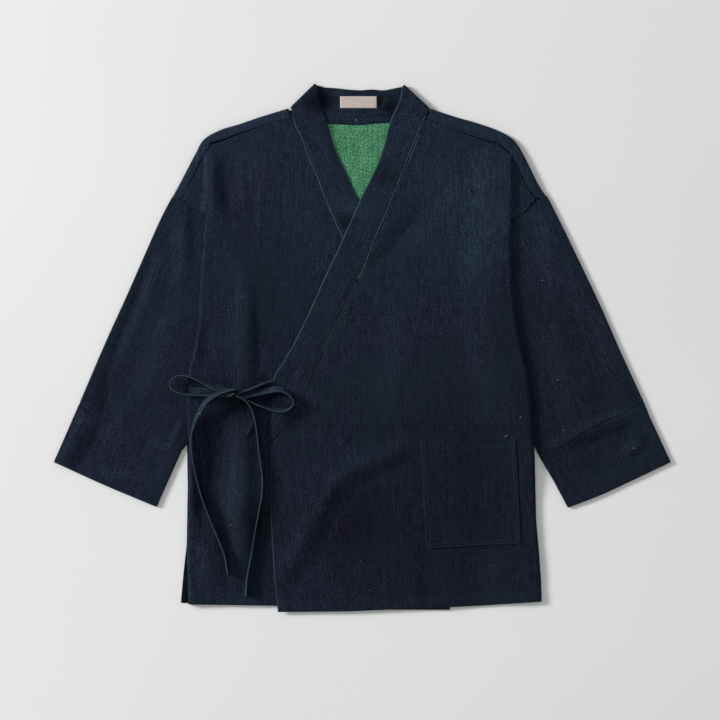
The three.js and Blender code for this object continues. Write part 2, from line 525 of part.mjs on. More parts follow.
// Back panel: flat on the floor, then rolled up over each shoulder to a seam on the front of the jacket
function backPanel() {
  const shoulderColumns = 9;
  const neckColumns = BACK_BAND.length + 1;
  const sideRows = 6;
  const flatRows = 16;
  const rollRows = 5;
  const stripRows = 2;
  const columns = 2 * shoulderColumns + neckColumns;
  const inset = SHOULDER_ROLL + CLOTH / 2;
  const clearOf = (rows, side, by) => rows.map((row) => ({ x: row.x + side * by.x, y: row.y + by.y }));
  const rightSeam = straight([
    RIGHT_STRIP_END,
    ...clearOf([...RIGHT_LOBE_SEAM].reverse().slice(1, -1), -1, LOBE_CLEARANCE),
    ...clearOf(RIGHT_SHOULDER_SEAM, -1, SHOULDER_CLEARANCE),
  ]);
  const leftSeam = straight([
    ...clearOf(LEFT_SHOULDER_SEAM, 1, SHOULDER_CLEARANCE),
    ...clearOf(LEFT_LOBE_SEAM.slice(1, -1), 1, LOBE_CLEARANCE),
    LEFT_STRIP_END,
  ]);
  const shoulders = [
    { fold: along(RIGHT_SHOULDER_FOLD), seam: rightSeam, share: (i) => i / shoulderColumns },
    {
      fold: along(LEFT_SHOULDER_FOLD), seam: leftSeam,
      share: (i) => (i - shoulderColumns - neckColumns) / shoulderColumns,
    },
  ];
  const edgeAt = (i) => {
    const shoulder = i <= shoulderColumns ? shoulders[0] : shoulders[1];
    const t = shoulder.share(i);
    const fold = shoulder.fold(t);
    const seam = shoulder.seam(t);
    const length = Math.hypot(fold[0] - seam[0], fold[1] - seam[1]);
    const out = [(fold[0] - seam[0]) / length, (fold[1] - seam[1]) / length];
    return { axis: [fold[0] - inset * out[0], fold[1] - inset * out[1]], out, seam };
  };
  const isShoulder = (i) => i <= shoulderColumns || i >= shoulderColumns + neckColumns;
  const neck = BACK_BAND.map((row) => [row.seamX, row.seamY - NECK_OVERLAP]);
  const top = (i) => (isShoulder(i) ? edgeAt(i).axis : neck[i - shoulderColumns - 1]);
  // Each side runs straight up to the underarm, then along the armhole, with rows meeting at the underarm.
  const sideLine = (side, armhole, last, inward) => {
    const low = straight(side);
    const high = along([...armhole.slice(0, -1), { x: last[0] - inward, y: last[1] }]);
    return (v) => {
      const split = sideRows / flatRows;
      if (v <= split) return low(v / split);
      const [x, y] = high((v - split) / (1 - split));
      return [x + inward, y];
    };
  };
  const near = sideLine(RIGHT_BACK_SIDE, RIGHT_ARMHOLE, top(0), ARMHOLE_CLEARANCE);
  const far = sideLine(LEFT_BACK_SIDE, LEFT_ARMHOLE, top(columns), -ARMHOLE_CLEARANCE);
  const flat = coons(straight(BACK_HEM), (u) => top(Math.round(u * columns)), near, far);
  const points = grid(columns, flatRows, (u, v) => [...flat(u, v), BACK_LEVEL]);
  for (let k = 1; k <= rollRows + stripRows; k += 1) {
    points.push(
      Array.from({ length: columns + 1 }, (_, i) => {
        if (!isShoulder(i)) return [...top(i), BACK_LEVEL];
        const { axis, out, seam } = edgeAt(i);
        if (k <= rollRows) {
          const angle = Math.PI * (k / rollRows - 0.5);
          const reach = SHOULDER_ROLL * Math.cos(angle);
          const z = BACK_LEVEL + SHOULDER_ROLL * (1 + Math.sin(angle));
          return [axis[0] + reach * out[0], axis[1] + reach * out[1], z];
        }
        const share = (k - rollRows) / stripRows;
        return [
          axis[0] + share * (seam[0] - axis[0]), axis[1] + share * (seam[1] - axis[1]),
          BACK_LEVEL + 2 * SHOULDER_ROLL,
        ];
      }),
    );
  }
  const onShoulder = (i) => i < shoulderColumns || i >= shoulderColumns + neckColumns;
  return wall(points, CLOTH, { present: (i, j) => j < flatRows || onShoulder(i) });
}

// Flattened tube of cloth between four edges: its front wall carries the folds, its back wall is flat
function flatTube(edges, folds, columns, rows) {
  const plan = coons(edges.start, edges.end, edges.outer, edges.inner);
  const roll = (SLEEVE_HEIGHT - CLOTH) / 2;
  const reach = SLEEVE_HEIGHT / 2;
  const turns = [60, 20, -20, -60].map((degrees) => (degrees * Math.PI) / 180);
  const points = [];
  for (let j = 0; j <= rows; j += 1) {
    const v = j / rows;
    const [a, b] = [plan(0, v), plan(1, v)];
    const width = Math.hypot(a[0] - b[0], a[1] - b[1]);
    const inset = reach / width;
    const ring = [];
    for (let i = 0; i <= columns; i += 1) {
      const u = inset + (1 - 2 * inset) * (i / columns);
      const [x, y] = plan(u, v);
      const nearEdge = Math.min(u, 1 - u) * width;
      const fade = smoothstep(0, SLEEVE_EDGE, nearEdge);
      const fold = Math.max(SLEEVE_DEEPEST, relief(folds, x, y));
      ring.push([x, y, SLEEVE_HEIGHT - CLOTH / 2 + fade * fold]);
    }
    for (const turn of turns) {
      const [x, y] = plan(1 - inset + (roll * Math.cos(turn)) / width, v);
      ring.push([x, y, reach + roll * Math.sin(turn)]);
    }
    for (let i = columns; i >= 0; i -= 1) {
      const [x, y] = plan(inset + (1 - 2 * inset) * (i / columns), v);
      ring.push([x, y, CLOTH / 2]);
    }
    for (const turn of [...turns].reverse()) {
      const [x, y] = plan(inset - (roll * Math.cos(turn)) / width, v);
      ring.push([x, y, reach + roll * Math.sin(turn)]);
    }
    points.push(ring);
  }
  return points;
}

// A ring's middle points run the other way round on the right of the picture, so its faces still point out.
function tube(side, edges, folds, columns, rows) {
  const points = flatTube(edges, folds, columns, rows);
  return wall(side < 0 ? [...points].reverse() : points, CLOTH, { around: true });
}

function shifted(curve, dx, dy) {
  return (t) => {
    const [x, y] = curve(t);
    return [x + dx, y + dy];
  };
}

function reversed(curve) {
  return (t) => curve(1 - t);
}

add("back", backPanel(), INDIGO, CLOTH_ROUGHNESS);
add("right_sleeve", tube(-1, {
  start: reversed(along(RIGHT_ARMHOLE)), end: along(RIGHT_CUFF_SEAM),
  outer: along(RIGHT_SLEEVE_FOLD), inner: straight(RIGHT_UNDERARM),
}, RIGHT_SLEEVE_FOLDS, 11, 10), INDIGO, CLOTH_ROUGHNESS);
add("left_sleeve", tube(1, {
  start: reversed(along(LEFT_ARMHOLE)), end: along(LEFT_CUFF_SEAM),
  outer: along(LEFT_SLEEVE_FOLD), inner: straight(LEFT_UNDERARM),
}, LEFT_SLEEVE_FOLDS, 11, 10), INDIGO, CLOTH_ROUGHNESS);
add("right_cuff", tube(-1, {
  start: shifted(along(RIGHT_CUFF_SEAM), -CUFF_CLEARANCE.x, CUFF_CLEARANCE.y), end: along(RIGHT_CUFF_HEM),
  outer: straight(RIGHT_CUFF_OUTER), inner: straight(RIGHT_CUFF_INNER),
}, RIGHT_SLEEVE_FOLDS, 11, 4), INDIGO, CLOTH_ROUGHNESS);
add("left_cuff", tube(1, {
  start: shifted(along(LEFT_CUFF_SEAM), CUFF_CLEARANCE.x, CUFF_CLEARANCE.y), end: along(LEFT_CUFF_HEM),
  outer: straight(LEFT_CUFF_OUTER), inner: straight(LEFT_CUFF_INNER),
}, LEFT_SLEEVE_FOLDS, 11, 4), INDIGO, CLOTH_ROUGHNESS);

// Rows of a table with smooth in-between rows added
function refined(rows, steps) {
  const keys = Object.keys(rows[0]);
  const at = (i) => rows[Math.min(rows.length - 1, Math.max(0, i))];
  const result = [];
  for (let i = 0; i < rows.length - 1; i += 1) {
    for (let k = 0; k < steps; k += 1) {
      const t = k / steps;
      result.push(
        Object.fromEntries(
          keys.map((key) => {
            const [p, q, r, s] = [at(i - 1)[key], at(i)[key], at(i + 1)[key], at(i + 2)[key]];
            const bend = t * t * (2 * p - 5 * q + 4 * r - s) + t ** 3 * (3 * q - 3 * r + s - p);
            return [key, q + 0.5 * (t * (r - p) + bend)];
          }),
        ),
      );
    }
  }
  result.push(rows[rows.length - 1]);
  return result;
}

// Half turn of the collar band over the side of the neck, from one height to another
function collarRoll(fold, steps) {
  const { startZ, endZ } = fold;
  const radius = Math.abs(startZ - endZ) / 2;
  const middle = (startZ + endZ) / 2;
  const sign = Math.sign(startZ - endZ);
  return Array.from({ length: steps + 1 }, (_, k) => {
    const angle = Math.PI * (0.5 - k / steps);
    const reach = radius * Math.cos(angle);
    return {
      seamX: fold.seamX + reach * fold.outX, seamY: fold.seamY + reach * fold.outY,
      freeX: fold.freeX + reach * fold.outX, freeY: fold.freeY + reach * fold.outY,
      z: middle + sign * radius * Math.sin(angle),
    };
  });
}

// Collar band, folded double: one strip from the right front's edge round the neck to the left front's edge
function collar() {
  const rollSteps = 6;
  const stations = [
    ...UNDER_BAND,
    ...collarRoll(RIGHT_COLLAR_FOLD, rollSteps),
    ...BACK_BAND,
    ...collarRoll(LEFT_COLLAR_FOLD, rollSteps),
    ...OVER_BAND,
  ];
  const across = 3;
  const points = Array.from({ length: across + 1 }, (_, i) => {
    const t = i / across;
    return stations.map((row) => [
      row.seamX + t * (row.freeX - row.seamX), row.seamY + t * (row.freeY - row.seamY), row.z,
    ]);
  });
  return wall(points, BAND);
}

add("collar", collar(), INDIGO, CLOTH_ROUGHNESS);

// Flat patch sewn on a surface: four corners, and the height of its middle
function patch(corners, height, thickness, columns, rows) {
  const [topLeft, topRight, lowRight, lowLeft] = corners;
  const mix = (a, b, t) => a + t * (b - a);
  return wall(
    grid(columns, rows, (u, v) => {
      const x = mix(mix(lowLeft[0], lowRight[0], u), mix(topLeft[0], topRight[0], u), v);
      const y = mix(mix(lowLeft[1], lowRight[1], u), mix(topLeft[1], topRight[1], u), v);
      return [x, y, height(x, y)];
    }),
    thickness,
  );
}

function rectangle(place) {
  const right = place.x + place.width;
  const top = place.y + place.height;
  return [[place.x, top], [right, top], [right, place.y], [place.x, place.y]];
}

const onFront = (x, y) => overFrontHeight(x, y) + CLOTH + POCKET_LIFT;
const onBand = () => BAND + LABEL_GAP + TAB_THICKNESS / 2;
add("pocket", patch(
  [POCKET.topLeft, POCKET.topRight, POCKET.lowRight, POCKET.lowLeft], onFront, CLOTH, 6, 6,
), INDIGO, CLOTH_ROUGHNESS);
add("neck_label", patch(rectangle(LABEL), onBand, TAB_THICKNESS, 3, 1), BEIGE, TAPE_ROUGHNESS);
add("size_tab", patch(rectangle(SIZE_TAB), onBand, TAB_THICKNESS, 1, 1), DARK, TAPE_ROUGHNESS);

// Top of what the ties lie on: the right front, and the end of the band on the left front
function restTop(x, y) {
  const front = underFrontHeight(Math.max(SIDE_SEAM_X, x), y) + CLOTH / 2;
  return x < BAND_END_X ? front : Math.max(overFrontHeight(x, y) + CLOTH / 2, BAND_END_Z + BAND / 2);
}

// Tape swept along a table's rows: a flat six-sided section, turned about the tape's own length
function tape(rows, steps) {
  const stations = refined(rows, steps);
  const half = TAPE_WIDTH / 2;
  const thick = TAPE / 2;
  const section = [
    [-half, 0], [-half + TAPE_BEVEL, -thick], [half - TAPE_BEVEL, -thick],
    [half, 0], [half - TAPE_BEVEL, thick], [-half + TAPE_BEVEL, thick],
  ];
  const centre = stations.map((row) => {
    const tilt = (row.tilt * Math.PI) / 180;
    const high = half * Math.abs(Math.sin(tilt)) + thick * Math.abs(Math.cos(tilt));
    return new THREE.Vector3(row.x, row.y, restTop(row.x, row.y) + row.lift + high);
  });
  const positions = [];
  const index = [];
  stations.forEach((row, k) => {
    const next = centre[Math.min(k + 1, centre.length - 1)];
    const ahead = next.clone().sub(centre[Math.max(k - 1, 0)]).normalize();
    const level = new THREE.Vector3(-ahead.y, ahead.x, 0).normalize();
    const up = ahead.clone().cross(level).normalize();
    const tilt = (row.tilt * Math.PI) / 180;
    const wide = level.clone().multiplyScalar(Math.cos(tilt)).addScaledVector(up, Math.sin(tilt));
    const thin = ahead.clone().cross(wide).normalize();
    for (const [w, t] of section) {
      const p = centre[k].clone().addScaledVector(wide, w).addScaledVector(thin, t);
      positions.push(p.x, p.y, p.z);
    }
  });
  const sides = section.length;
  for (let k = 0; k < stations.length - 1; k += 1) {
    for (let i = 0; i < sides; i += 1) {
      const a = k * sides + i;
      const b = k * sides + ((i + 1) % sides);
      index.push(a, b, b + sides, a, b + sides, a + sides);
    }
  }
  const last = (stations.length - 1) * sides;
  for (let i = 1; i < sides - 1; i += 1) {
    index.push(0, i + 1, i);
    index.push(last, last + i, last + i + 1);
  }
  return solid(positions, index);
}

// Knot: a short rounded block wound across the middle of the bow
function knot() {
  const shape = new THREE.SphereGeometry(1, 16, 10);
  const squared = (value) => Math.sign(value) * Math.abs(value) ** KNOT.square;
  const place = shape.attributes.position;
  const z = restTop(KNOT.x, KNOT.y) + KNOT.lift + KNOT.halfHeight;
  for (let i = 0; i < place.count; i += 1) {
    const a = squared(place.getX(i)) * KNOT.halfLength;
    const b = squared(place.getZ(i)) * KNOT.halfWidth;
    const turnedX = a * Math.cos(KNOT.turn) - b * Math.sin(KNOT.turn);
    const turnedY = a * Math.sin(KNOT.turn) + b * Math.cos(KNOT.turn);
    place.setXYZ(i, KNOT.x + turnedX, KNOT.y + turnedY, z - squared(place.getY(i)) * KNOT.halfHeight);
  }
  return shape;
}

add("tie_front", tape(TIE_FRONT, 1), INDIGO, TAPE_ROUGHNESS);
add("tie_side", tape(TIE_SIDE, 1), INDIGO, TAPE_ROUGHNESS);
add("bow_loop_right", tape(LOOP_RIGHT, 2), INDIGO, TAPE_ROUGHNESS);
add("bow_loop_left", tape(LOOP_LEFT, 2), INDIGO, TAPE_ROUGHNESS);
add("tail_right", tape(TAIL_RIGHT, 2), INDIGO, TAPE_ROUGHNESS);
add("tail_left", tape(TAIL_LEFT, 2), INDIGO, TAPE_ROUGHNESS);
add("bow_knot", knot(), INDIGO, TAPE_ROUGHNESS);

export default garment;
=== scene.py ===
"""A wrap-front jacket of dark indigo twill, lying flat on its back with its ties in a bow.

Metres, in the CAD frame: the floor is z = 0, +Y runs from hem to collar and +Z points up.
The tables are in millimetres, as in the pattern, and meshes are scaled as they are made.
"""

import math

import bpy
import numpy as np
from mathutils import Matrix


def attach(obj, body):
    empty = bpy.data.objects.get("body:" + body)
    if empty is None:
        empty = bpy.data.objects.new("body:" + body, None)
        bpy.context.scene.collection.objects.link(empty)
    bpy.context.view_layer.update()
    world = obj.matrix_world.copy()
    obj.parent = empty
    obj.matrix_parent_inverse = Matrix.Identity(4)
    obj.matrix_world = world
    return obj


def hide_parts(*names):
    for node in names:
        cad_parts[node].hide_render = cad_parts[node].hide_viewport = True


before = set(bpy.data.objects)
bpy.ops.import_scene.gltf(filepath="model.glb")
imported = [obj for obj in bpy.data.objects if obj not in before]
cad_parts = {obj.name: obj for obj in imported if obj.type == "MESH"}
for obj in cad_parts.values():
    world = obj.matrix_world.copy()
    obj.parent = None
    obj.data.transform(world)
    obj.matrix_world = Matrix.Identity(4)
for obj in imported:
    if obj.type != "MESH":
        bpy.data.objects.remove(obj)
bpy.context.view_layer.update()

# Floor, light and camera.
# A sheet of pale matt paper, one soft lamp standing low on the side of the right sleeve, grey light
# from all round, and a camera that looks straight down.
MM = 0.001


class Signal:
    """One output of a material's nodes. Arithmetic on signals and numbers adds Math nodes."""

    def __init__(self, tree, socket=None):
        self.tree = tree
        self.socket = socket

    def add(self, kind, settings=None, values=None, out=0):
        """Adds a node: its settings first, then each input's value or link, and gives one output."""
        node = self.tree.nodes.new(kind)
        for key, value in (settings or {}).items():
            setattr(node, key, value)
        for key, value in (values or {}).items():
            if isinstance(value, Signal):
                self.tree.links.new(value.socket, node.inputs[key])
            else:
                node.inputs[key].default_value = value
        return Signal(self.tree, node.outputs[out])

    def maths(self, operation, *values):
        """One Math node on signals and numbers."""
        return self.add("ShaderNodeMath", {"operation": operation}, dict(enumerate(values)))

    def __add__(self, other):
        return self.maths("ADD", self, other)

    def __sub__(self, other):
        return self.maths("SUBTRACT", self, other)

    def __rsub__(self, other):
        return self.maths("SUBTRACT", other, self)

    def __mul__(self, other):
        return self.maths("MULTIPLY", self, other)

    def __truediv__(self, other):
        return self.maths("DIVIDE", self, other)

    __radd__ = __add__
    __rmul__ = __mul__

    def between(self, low, high):
        """0 below low, 1 above high and straight between."""
        values = {"Value": self, "From Min": low, "From Max": high}
        return self.add("ShaderNodeMapRange", {"clamp": True}, values)

    def mix(self, first, second):
        """Colour from first to second, with this signal as the share of the second."""
        settings = {"data_type": "RGBA", "clamp_factor": True}
        first, second = [c if isinstance(c, Signal) else (*c, 1) for c in (first, second)]
        return self.add("ShaderNodeMix", settings, {0: self, 6: first, 7: second}, 2)

    def times(self, colour):
        """This colour times another, channel by channel."""
        settings = {"operation": "MULTIPLY"}
        return self.add("ShaderNodeVectorMath", settings, {0: self, 1: colour})

    def vector(self, x, y, z=0.0):
        """A vector put together from three signals or numbers."""
        return self.add("ShaderNodeCombineXYZ", None, {0: x, 1: y, 2: z})

    def noise(self, place, scale=1.0, detail=2.0, roughness=0.5):
        """Soft noise at a place, about 0.5 on average, with its size set by the scale."""
        values = {"Vector": place, "Scale": scale, "Detail": detail, "Roughness": roughness}
        return self.add("ShaderNodeTexNoise", None, values)


def new_finish(name, roughness, specular):
    """A material with its one shader, and a signal to hang its nodes on."""
    material = bpy.data.materials.new(name)
    material.use_nodes = True
    tree = material.node_tree
    shader = tree.nodes["Principled BSDF"]
    shader.inputs["Roughness"].default_value = roughness
    shader.inputs["Specular IOR Level"].default_value = specular
    return material, Signal(tree), shader


def paper_finish():
    """Pale matt paper, a little uneven."""
    material, signal, shader = new_finish("pale_paper", 0.9, 0.1)
    place = signal.add("ShaderNodeTexCoord", out=3)
    cloud = signal.noise(place, 1.5, 2.0)
    colour = cloud.between(0.3, 0.7).mix((0.80, 0.80, 0.805), (0.83, 0.83, 0.832))
    signal.tree.links.new(colour.socket, shader.inputs["Base Color"])
    return material


def make_object(name, points, faces, finishes, skin=None):
    """A mesh object at the origin from points in millimetres, with smooth faces."""
    mesh = bpy.data.meshes.new(name)
    mesh.from_pydata((np.asarray(points) * MM).tolist(), [], faces)
    for finish in finishes:
        mesh.materials.append(finish)
    if skin is not None:
        mesh.polygons.foreach_set("material_index", np.asarray(skin, np.int32))
    mesh.shade_smooth()
    mesh.update()
    piece = bpy.data.objects.new(name, mesh)
    bpy.context.scene.collection.objects.link(piece)
    return piece


FLOOR_HALF = 4000
FLOOR_LEVEL = -0.25
floor_corners = [
    (x * FLOOR_HALF, y * FLOOR_HALF, FLOOR_LEVEL) for x, y in ((-1, -1), (1, -1), (1, 1), (-1, 1))
]
floor = make_object("paper_floor", floor_corners, [(0, 1, 2, 3)], [paper_finish()])

GREY_LIGHT = 0.48
world = bpy.data.worlds.new("studio")
world.use_nodes = True
background = world.node_tree.nodes["Background"]
background.inputs["Color"].default_value = (1.0, 1.0, 1.0, 1)
background.inputs["Strength"].default_value = GREY_LIGHT
bpy.context.scene.world = world
bpy.context.scene.view_settings.view_transform = "Standard"


def soft_lamp(name, place, aim, size, power):
    """A square area lamp at a place, turned to face a point."""
    lamp = bpy.data.lights.new(name, "AREA")
    lamp.size = size
    lamp.energy = power
    holder = bpy.data.objects.new(name, lamp)
    bpy.context.scene.collection.objects.link(holder)
    direction = np.array(aim) - np.array(place)
    level = math.hypot(direction[0], direction[1])
    holder.location = place
    holder.rotation_euler = (
        math.atan2(level, -direction[2]), 0, math.atan2(direction[1], direction[0]) - math.pi / 2,
    )


soft_lamp("key", place=(-6.4, 2.2, 2.9), aim=(0.0, 0.0, 0.0), size=1.65, power=600)

VIEW_CENTRE = (-0.0033, -0.018)
VIEW_WIDTH = 1.044
VIEW_HEIGHT = 3.6
camera_data = bpy.data.cameras.new("camera")
camera_data.sensor_width = 36
camera_data.lens = camera_data.sensor_width * VIEW_HEIGHT / VIEW_WIDTH
camera = bpy.data.objects.new("camera", camera_data)
camera.location = (*VIEW_CENTRE, VIEW_HEIGHT)
bpy.context.scene.collection.objects.link(camera)
bpy.context.scene.camera = camera

# The two loose tails of the bow.
# Each is a narrow tape of the jacket's own twill, folded in and stitched along one edge.
# It leaves the knot, then stands half on edge on the fronts down to its cut end.
CLOTH = 1.2
BAND = 2.6
TAPE_WIDTH = 11.0
TAPE_THICK = 1.8

# Levels of the layers at the middle of the cloth
UNDER_LEVEL = 2.1
OVER_LEVEL = 5.6
OVER_LOW_LEVEL = 3.2
SIDE_LEVEL = 8.2

# The line where each sleeve meets the body: underarm, then armhole
RIGHT_ARMHOLE = [(-190, 20), (-194, 90), (-206, 150), (-228, 191), (-252, 206), (-277, 214)]
LEFT_ARMHOLE = [(190, 20), (193, 90), (203, 150), (222, 186), (246, 203), (270, 214)]
RIGHT_UNDERARM = [(-190, 20), (-223, -59), (-253, -139), (-262, -150)]
LEFT_UNDERARM = [(190, 20), (220, -62), (251, -147), (255, -155)]

# Where the roll of each side is full above the armhole: distance from the middle, by side
FOLD_REACH = {-1: 223.5, 1: 224}

# Folds: from (x0, y0) to (x1, y1), half width, and how far each rises or sinks
UNDER_FOLDS = [
    (-206, 276, -196, 196, 9, -2.6), (-221, 276, -217, 190, 8, 2.0), (-176, 270, -172, 190, 6, 1.0),
    (-228, 35, -228, -25, 9, -1.8), (-240, -170, -232, -262, 7, -2.6),
    (-152, 73, -152, -57, 9, -2.2), (-173, 110, -172, -55, 16, 2.4), (-182, -115, -180, -300, 16, 3.8),
    (-155, -115, -155, -330, 9, -2.2), (-222, -80, -220, -205, 12, -1.4), (-158, -108, -170, -128, 4, 1.8),
    (-226, -286, -224, -348, 9, 1.5), (-205, -262, -196, -360, 8, -1.2),
]
OVER_FOLDS = [
    (178, 286, 165, 189, 17, 2.0), (165, 189, 159, 90, 16, 1.8), (78, 196, 16, 120, 9, -1.8),
    (150, 240, 70, 140, 17, 1.6), (70, -135, 12, -164, 14, 1.6), (12, -164, -25, -176, 14, 1.8),
    (-25, -176, -51, -208, 14, 1.9), (-51, -208, -73, -251, 14, 1.9), (-73, -251, -91, -297, 15, 1.8),
    (-91, -297, -121, -331, 15, 1.8), (76, -153, 19, -181, 11, -2.2), (19, -181, -14, -191, 11, -2.6),
    (-14, -191, -35, -218, 12, -2.8), (-35, -218, -56, -259, 12, -2.8), (-56, -259, -75, -307, 13, -2.6),
    (-75, -307, -107, -343, 13, -2.2), (30, -205, -30, -300, 26, -1.2),
    (60, 60, 40, -90, 22, 1.4), (165, 30, 172, -110, 20, 1.5), (89, -290, 92, -372, 8, -1.3),
    (-90, -114, 232, -119, 4, -0.8), (190, -300, 186, -372, 16, 1.2), (-30, 120, -70, 20, 12, 1.0),
]


def eased(low, high, value):
    """0 below low, 1 above high, and 3t^2 - 2t^3 between, where t runs straight from 0 to 1."""
    t = np.clip((value - low) / (high - low), 0, 1)
    return t * t * (3 - 2 * t)


def folded(folds, x, y):
    """Sum of ridges: rise * exp(-(distance from the line / width)^2), faded at both ends of the line."""
    height = np.zeros(np.broadcast(x, y).shape)
    for x0, y0, x1, y1, width, rise in folds:
        dx, dy = x1 - x0, y1 - y0
        length = math.hypot(dx, dy)
        t = ((x - x0) * dx + (y - y0) * dy) / length**2
        side = ((x - x0) * dy - (y - y0) * dx) / length
        fade = eased(-0.25, 0.25, t) * (1 - eased(0.75, 1.25, t))
        height = height + rise * fade * np.exp(-((side / width) ** 2))
    return height


def rippled(x, y, seed, size, rise):
    """Faint unevenness of cloth: the mean of twelve sine waves of random direction, near one size."""
    draw = np.random.default_rng(seed)
    height = 0.0
    waves = 12
    for _ in range(waves):
        turn, phase = draw.uniform(0, 2 * math.pi, 2)
        wave = 2 * math.pi / (size * draw.uniform(0.7, 1.6))
        height = height + np.sin(wave * (x * math.cos(turn) + y * math.sin(turn)) + phase)
    return rise * height / waves


def inside_sleeve_line(side, x, y):
    """How far a place lies inside the body from the underarm and armhole line, or above the armhole from
    the front's side fold, measured along X."""
    underarm, armhole = (RIGHT_UNDERARM, RIGHT_ARMHOLE) if side < 0 else (LEFT_UNDERARM, LEFT_ARMHOLE)
    line = np.array([*underarm[:0:-1], *armhole], float)
    below = line[0] + 40 * (line[0] - line[1])
    above = line[-1] + 20 * (line[-1] - line[-2])
    line = np.vstack([below, line, above])
    line_x = np.interp(y, line[:, 1], line[:, 0])
    from_fold = FOLD_REACH[side] - np.abs(x)
    inside = (line_x - x) * side
    return np.where(y > 186, np.minimum(inside, from_fold), inside)


def side_roll(side, x, y):
    """1 where a front rolls over the sleeve beside it, easing to 0 some 60 mm inside the body."""
    over = 1 - eased(-8, 62, inside_sleeve_line(side, x, y) - 6)
    near = 1 - eased(0, 66, 252 - np.abs(x))
    return np.maximum(over, 0.35 * near) * (1 - eased(255, 292, y))


def under_front_height(x, y):
    """Level of the right front: base + roll to the side level + shoulder rise + folds, none below 0."""
    bare = 1 - eased(-150, -105, x)
    folds = (folded(UNDER_FOLDS, x, y) + 2.4) * bare * (1 - 0.85 * eased(235, 300, y))
    roll = side_roll(-1, x, y)
    level = UNDER_LEVEL + roll * (SIDE_LEVEL - UNDER_LEVEL) + 3.0 * eased(210, 320, y)
    return level + np.maximum(0, folds) + rippled(x, y, 3, 60, 0.5) * bare


def over_front_height(x, y):
    """Level of the left front: low beside the side fold, higher on the right front below it, plus folds."""
    base = OVER_LOW_LEVEL + (1 - eased(128, 176, x)) * (OVER_LEVEL - OVER_LOW_LEVEL)
    level = base + side_roll(1, x, y) * (SIDE_LEVEL + 3.6 - base) + 1.6 * eased(230, 320, y)
    deepest = -1.0 - 0.7 * (1 - eased(-170, -140, y))
    return level + np.maximum(deepest, folded(OVER_FOLDS, x, y)) + rippled(x, y, 5, 60, 0.4)


def top_below_ties(x, y):
    """Top of what a tie lies on: the right front, and past x = -132 the left front and its band's end."""
    band_end = 6.2 + BAND / 2
    left = np.maximum(over_front_height(x, y) + CLOTH / 2, band_end)
    right = under_front_height(np.maximum(-250, x), y) + CLOTH / 2
    return right + eased(-139, -127, x) * (left - right)


def refined(rows, steps):
    """Rows with smooth ones between: q + t(r-p)/2 + t^2(2p-5q+4r-s)/2 + t^3(3q-3r+s-p)/2."""
    rows = np.array(rows, float)
    padded = np.vstack([rows[:1], rows, rows[-1:]])
    p, q, r, s = padded[:-3], padded[1:-2], padded[2:-1], padded[3:]
    t = np.linspace(0, 1, steps, endpoint=False)[:, None, None]
    bend = t**2 * (2 * p - 5 * q + 4 * r - s) + t**3 * (3 * q - 3 * r + s - p)
    dense = q + 0.5 * (t * (r - p) + bend)
    return np.vstack([dense.transpose(1, 0, 2).reshape(-1, rows.shape[1]), rows[-1]])


def unit(vectors):
    """Each vector divided by its own length."""
    return vectors / np.maximum(np.linalg.norm(vectors, axis=-1, keepdims=True), 1e-9)


def swept(name, centre, wide, thin, half_width, half_thick, finish, seed=0, rubbed=0.0):
    """A flat closed section carried along a line: |w|^3 + |t|^3 = 1, scaled by half width and thickness,
    and thicker at the folded edges and here and there. wide and thin are the section's own directions at
    each place, and the ends close on a middle point."""
    sides = 20
    squareness = 0.67
    angle = 2 * math.pi * np.arange(sides) / sides
    w = np.sign(np.cos(angle)) * np.abs(np.cos(angle)) ** squareness
    t = np.sign(np.sin(angle)) * np.abs(np.sin(angle)) ** squareness
    stations = len(centre)
    length = np.concatenate([[0], np.cumsum(np.linalg.norm(np.diff(centre, axis=0), axis=1))])
    uneven = 1 + 0.16 * rippled(length[:, None], 9 * w[None, :], seed, 14, 1.0)
    swell = half_thick * uneven * (1 + 0.35 * np.abs(w[None, :]) ** 4)
    section = centre[:, None, :] + wide[:, None, :] * (half_width * w)[None, :, None]
    section = section + thin[:, None, :] * (swell * t[None, :])[:, :, None]
    points = np.vstack([section.reshape(-1, 3), centre[:1], centre[-1:]])
    k, i = np.meshgrid(np.arange(stations - 1), np.arange(sides), indexing="ij")
    a, b = k * sides + i, k * sides + (i + 1) % sides
    quads = np.stack([a, b, b + sides, a + sides], axis=-1).reshape(-1, 4)
    ring = np.arange(sides)
    after = (ring + 1) % sides
    first, last = len(points) - 2, len(points) - 1
    end = (stations - 1) * sides
    caps = [(first, int(m), int(n)) for n, m in zip(ring, after)]
    caps += [(last, int(end + n), int(end + m)) for n, m in zip(ring, after)]
    piece = make_object(name, points, [*quads.tolist(), *caps], [finish])
    edge = np.concatenate([np.tile(np.maximum(rubbed, np.abs(w) ** 6), stations), [0, 0]])
    place = np.stack([np.tile(w * half_width, stations), np.repeat(length, sides)], axis=1)
    place = np.vstack([place, [[0, 0], [0, length[-1]]]])
    surface_marks(piece, place, edge)
    return piece


def surface_marks(piece, place, wear, fade=0.0):
    """Gives a mesh its cloth coordinates, in centimetres across and along the warp, its worn edges, which
    on the right front's lower side edge are a painted highlight, and its fade mark, which scales its
    colour: on folds from -1, painted shade in the troughs, to 1, painted light on the ridges."""
    mesh = piece.data
    corners = np.zeros(len(mesh.loops), np.int32)
    mesh.loops.foreach_get("vertex_index", corners)
    layer = mesh.uv_layers.new(name="warp")
    layer.data.foreach_set("uv", (np.asarray(place)[corners] * 0.1).astype(np.float32).ravel())
    for mark, values in (("wear", wear), ("fade", fade)):
        attribute = mesh.attributes.new(mark, "FLOAT", "POINT")
        values = np.broadcast_to(np.asarray(values, np.float32).ravel(), len(mesh.vertices))
        attribute.data.foreach_set("value", np.ascontiguousarray(values))


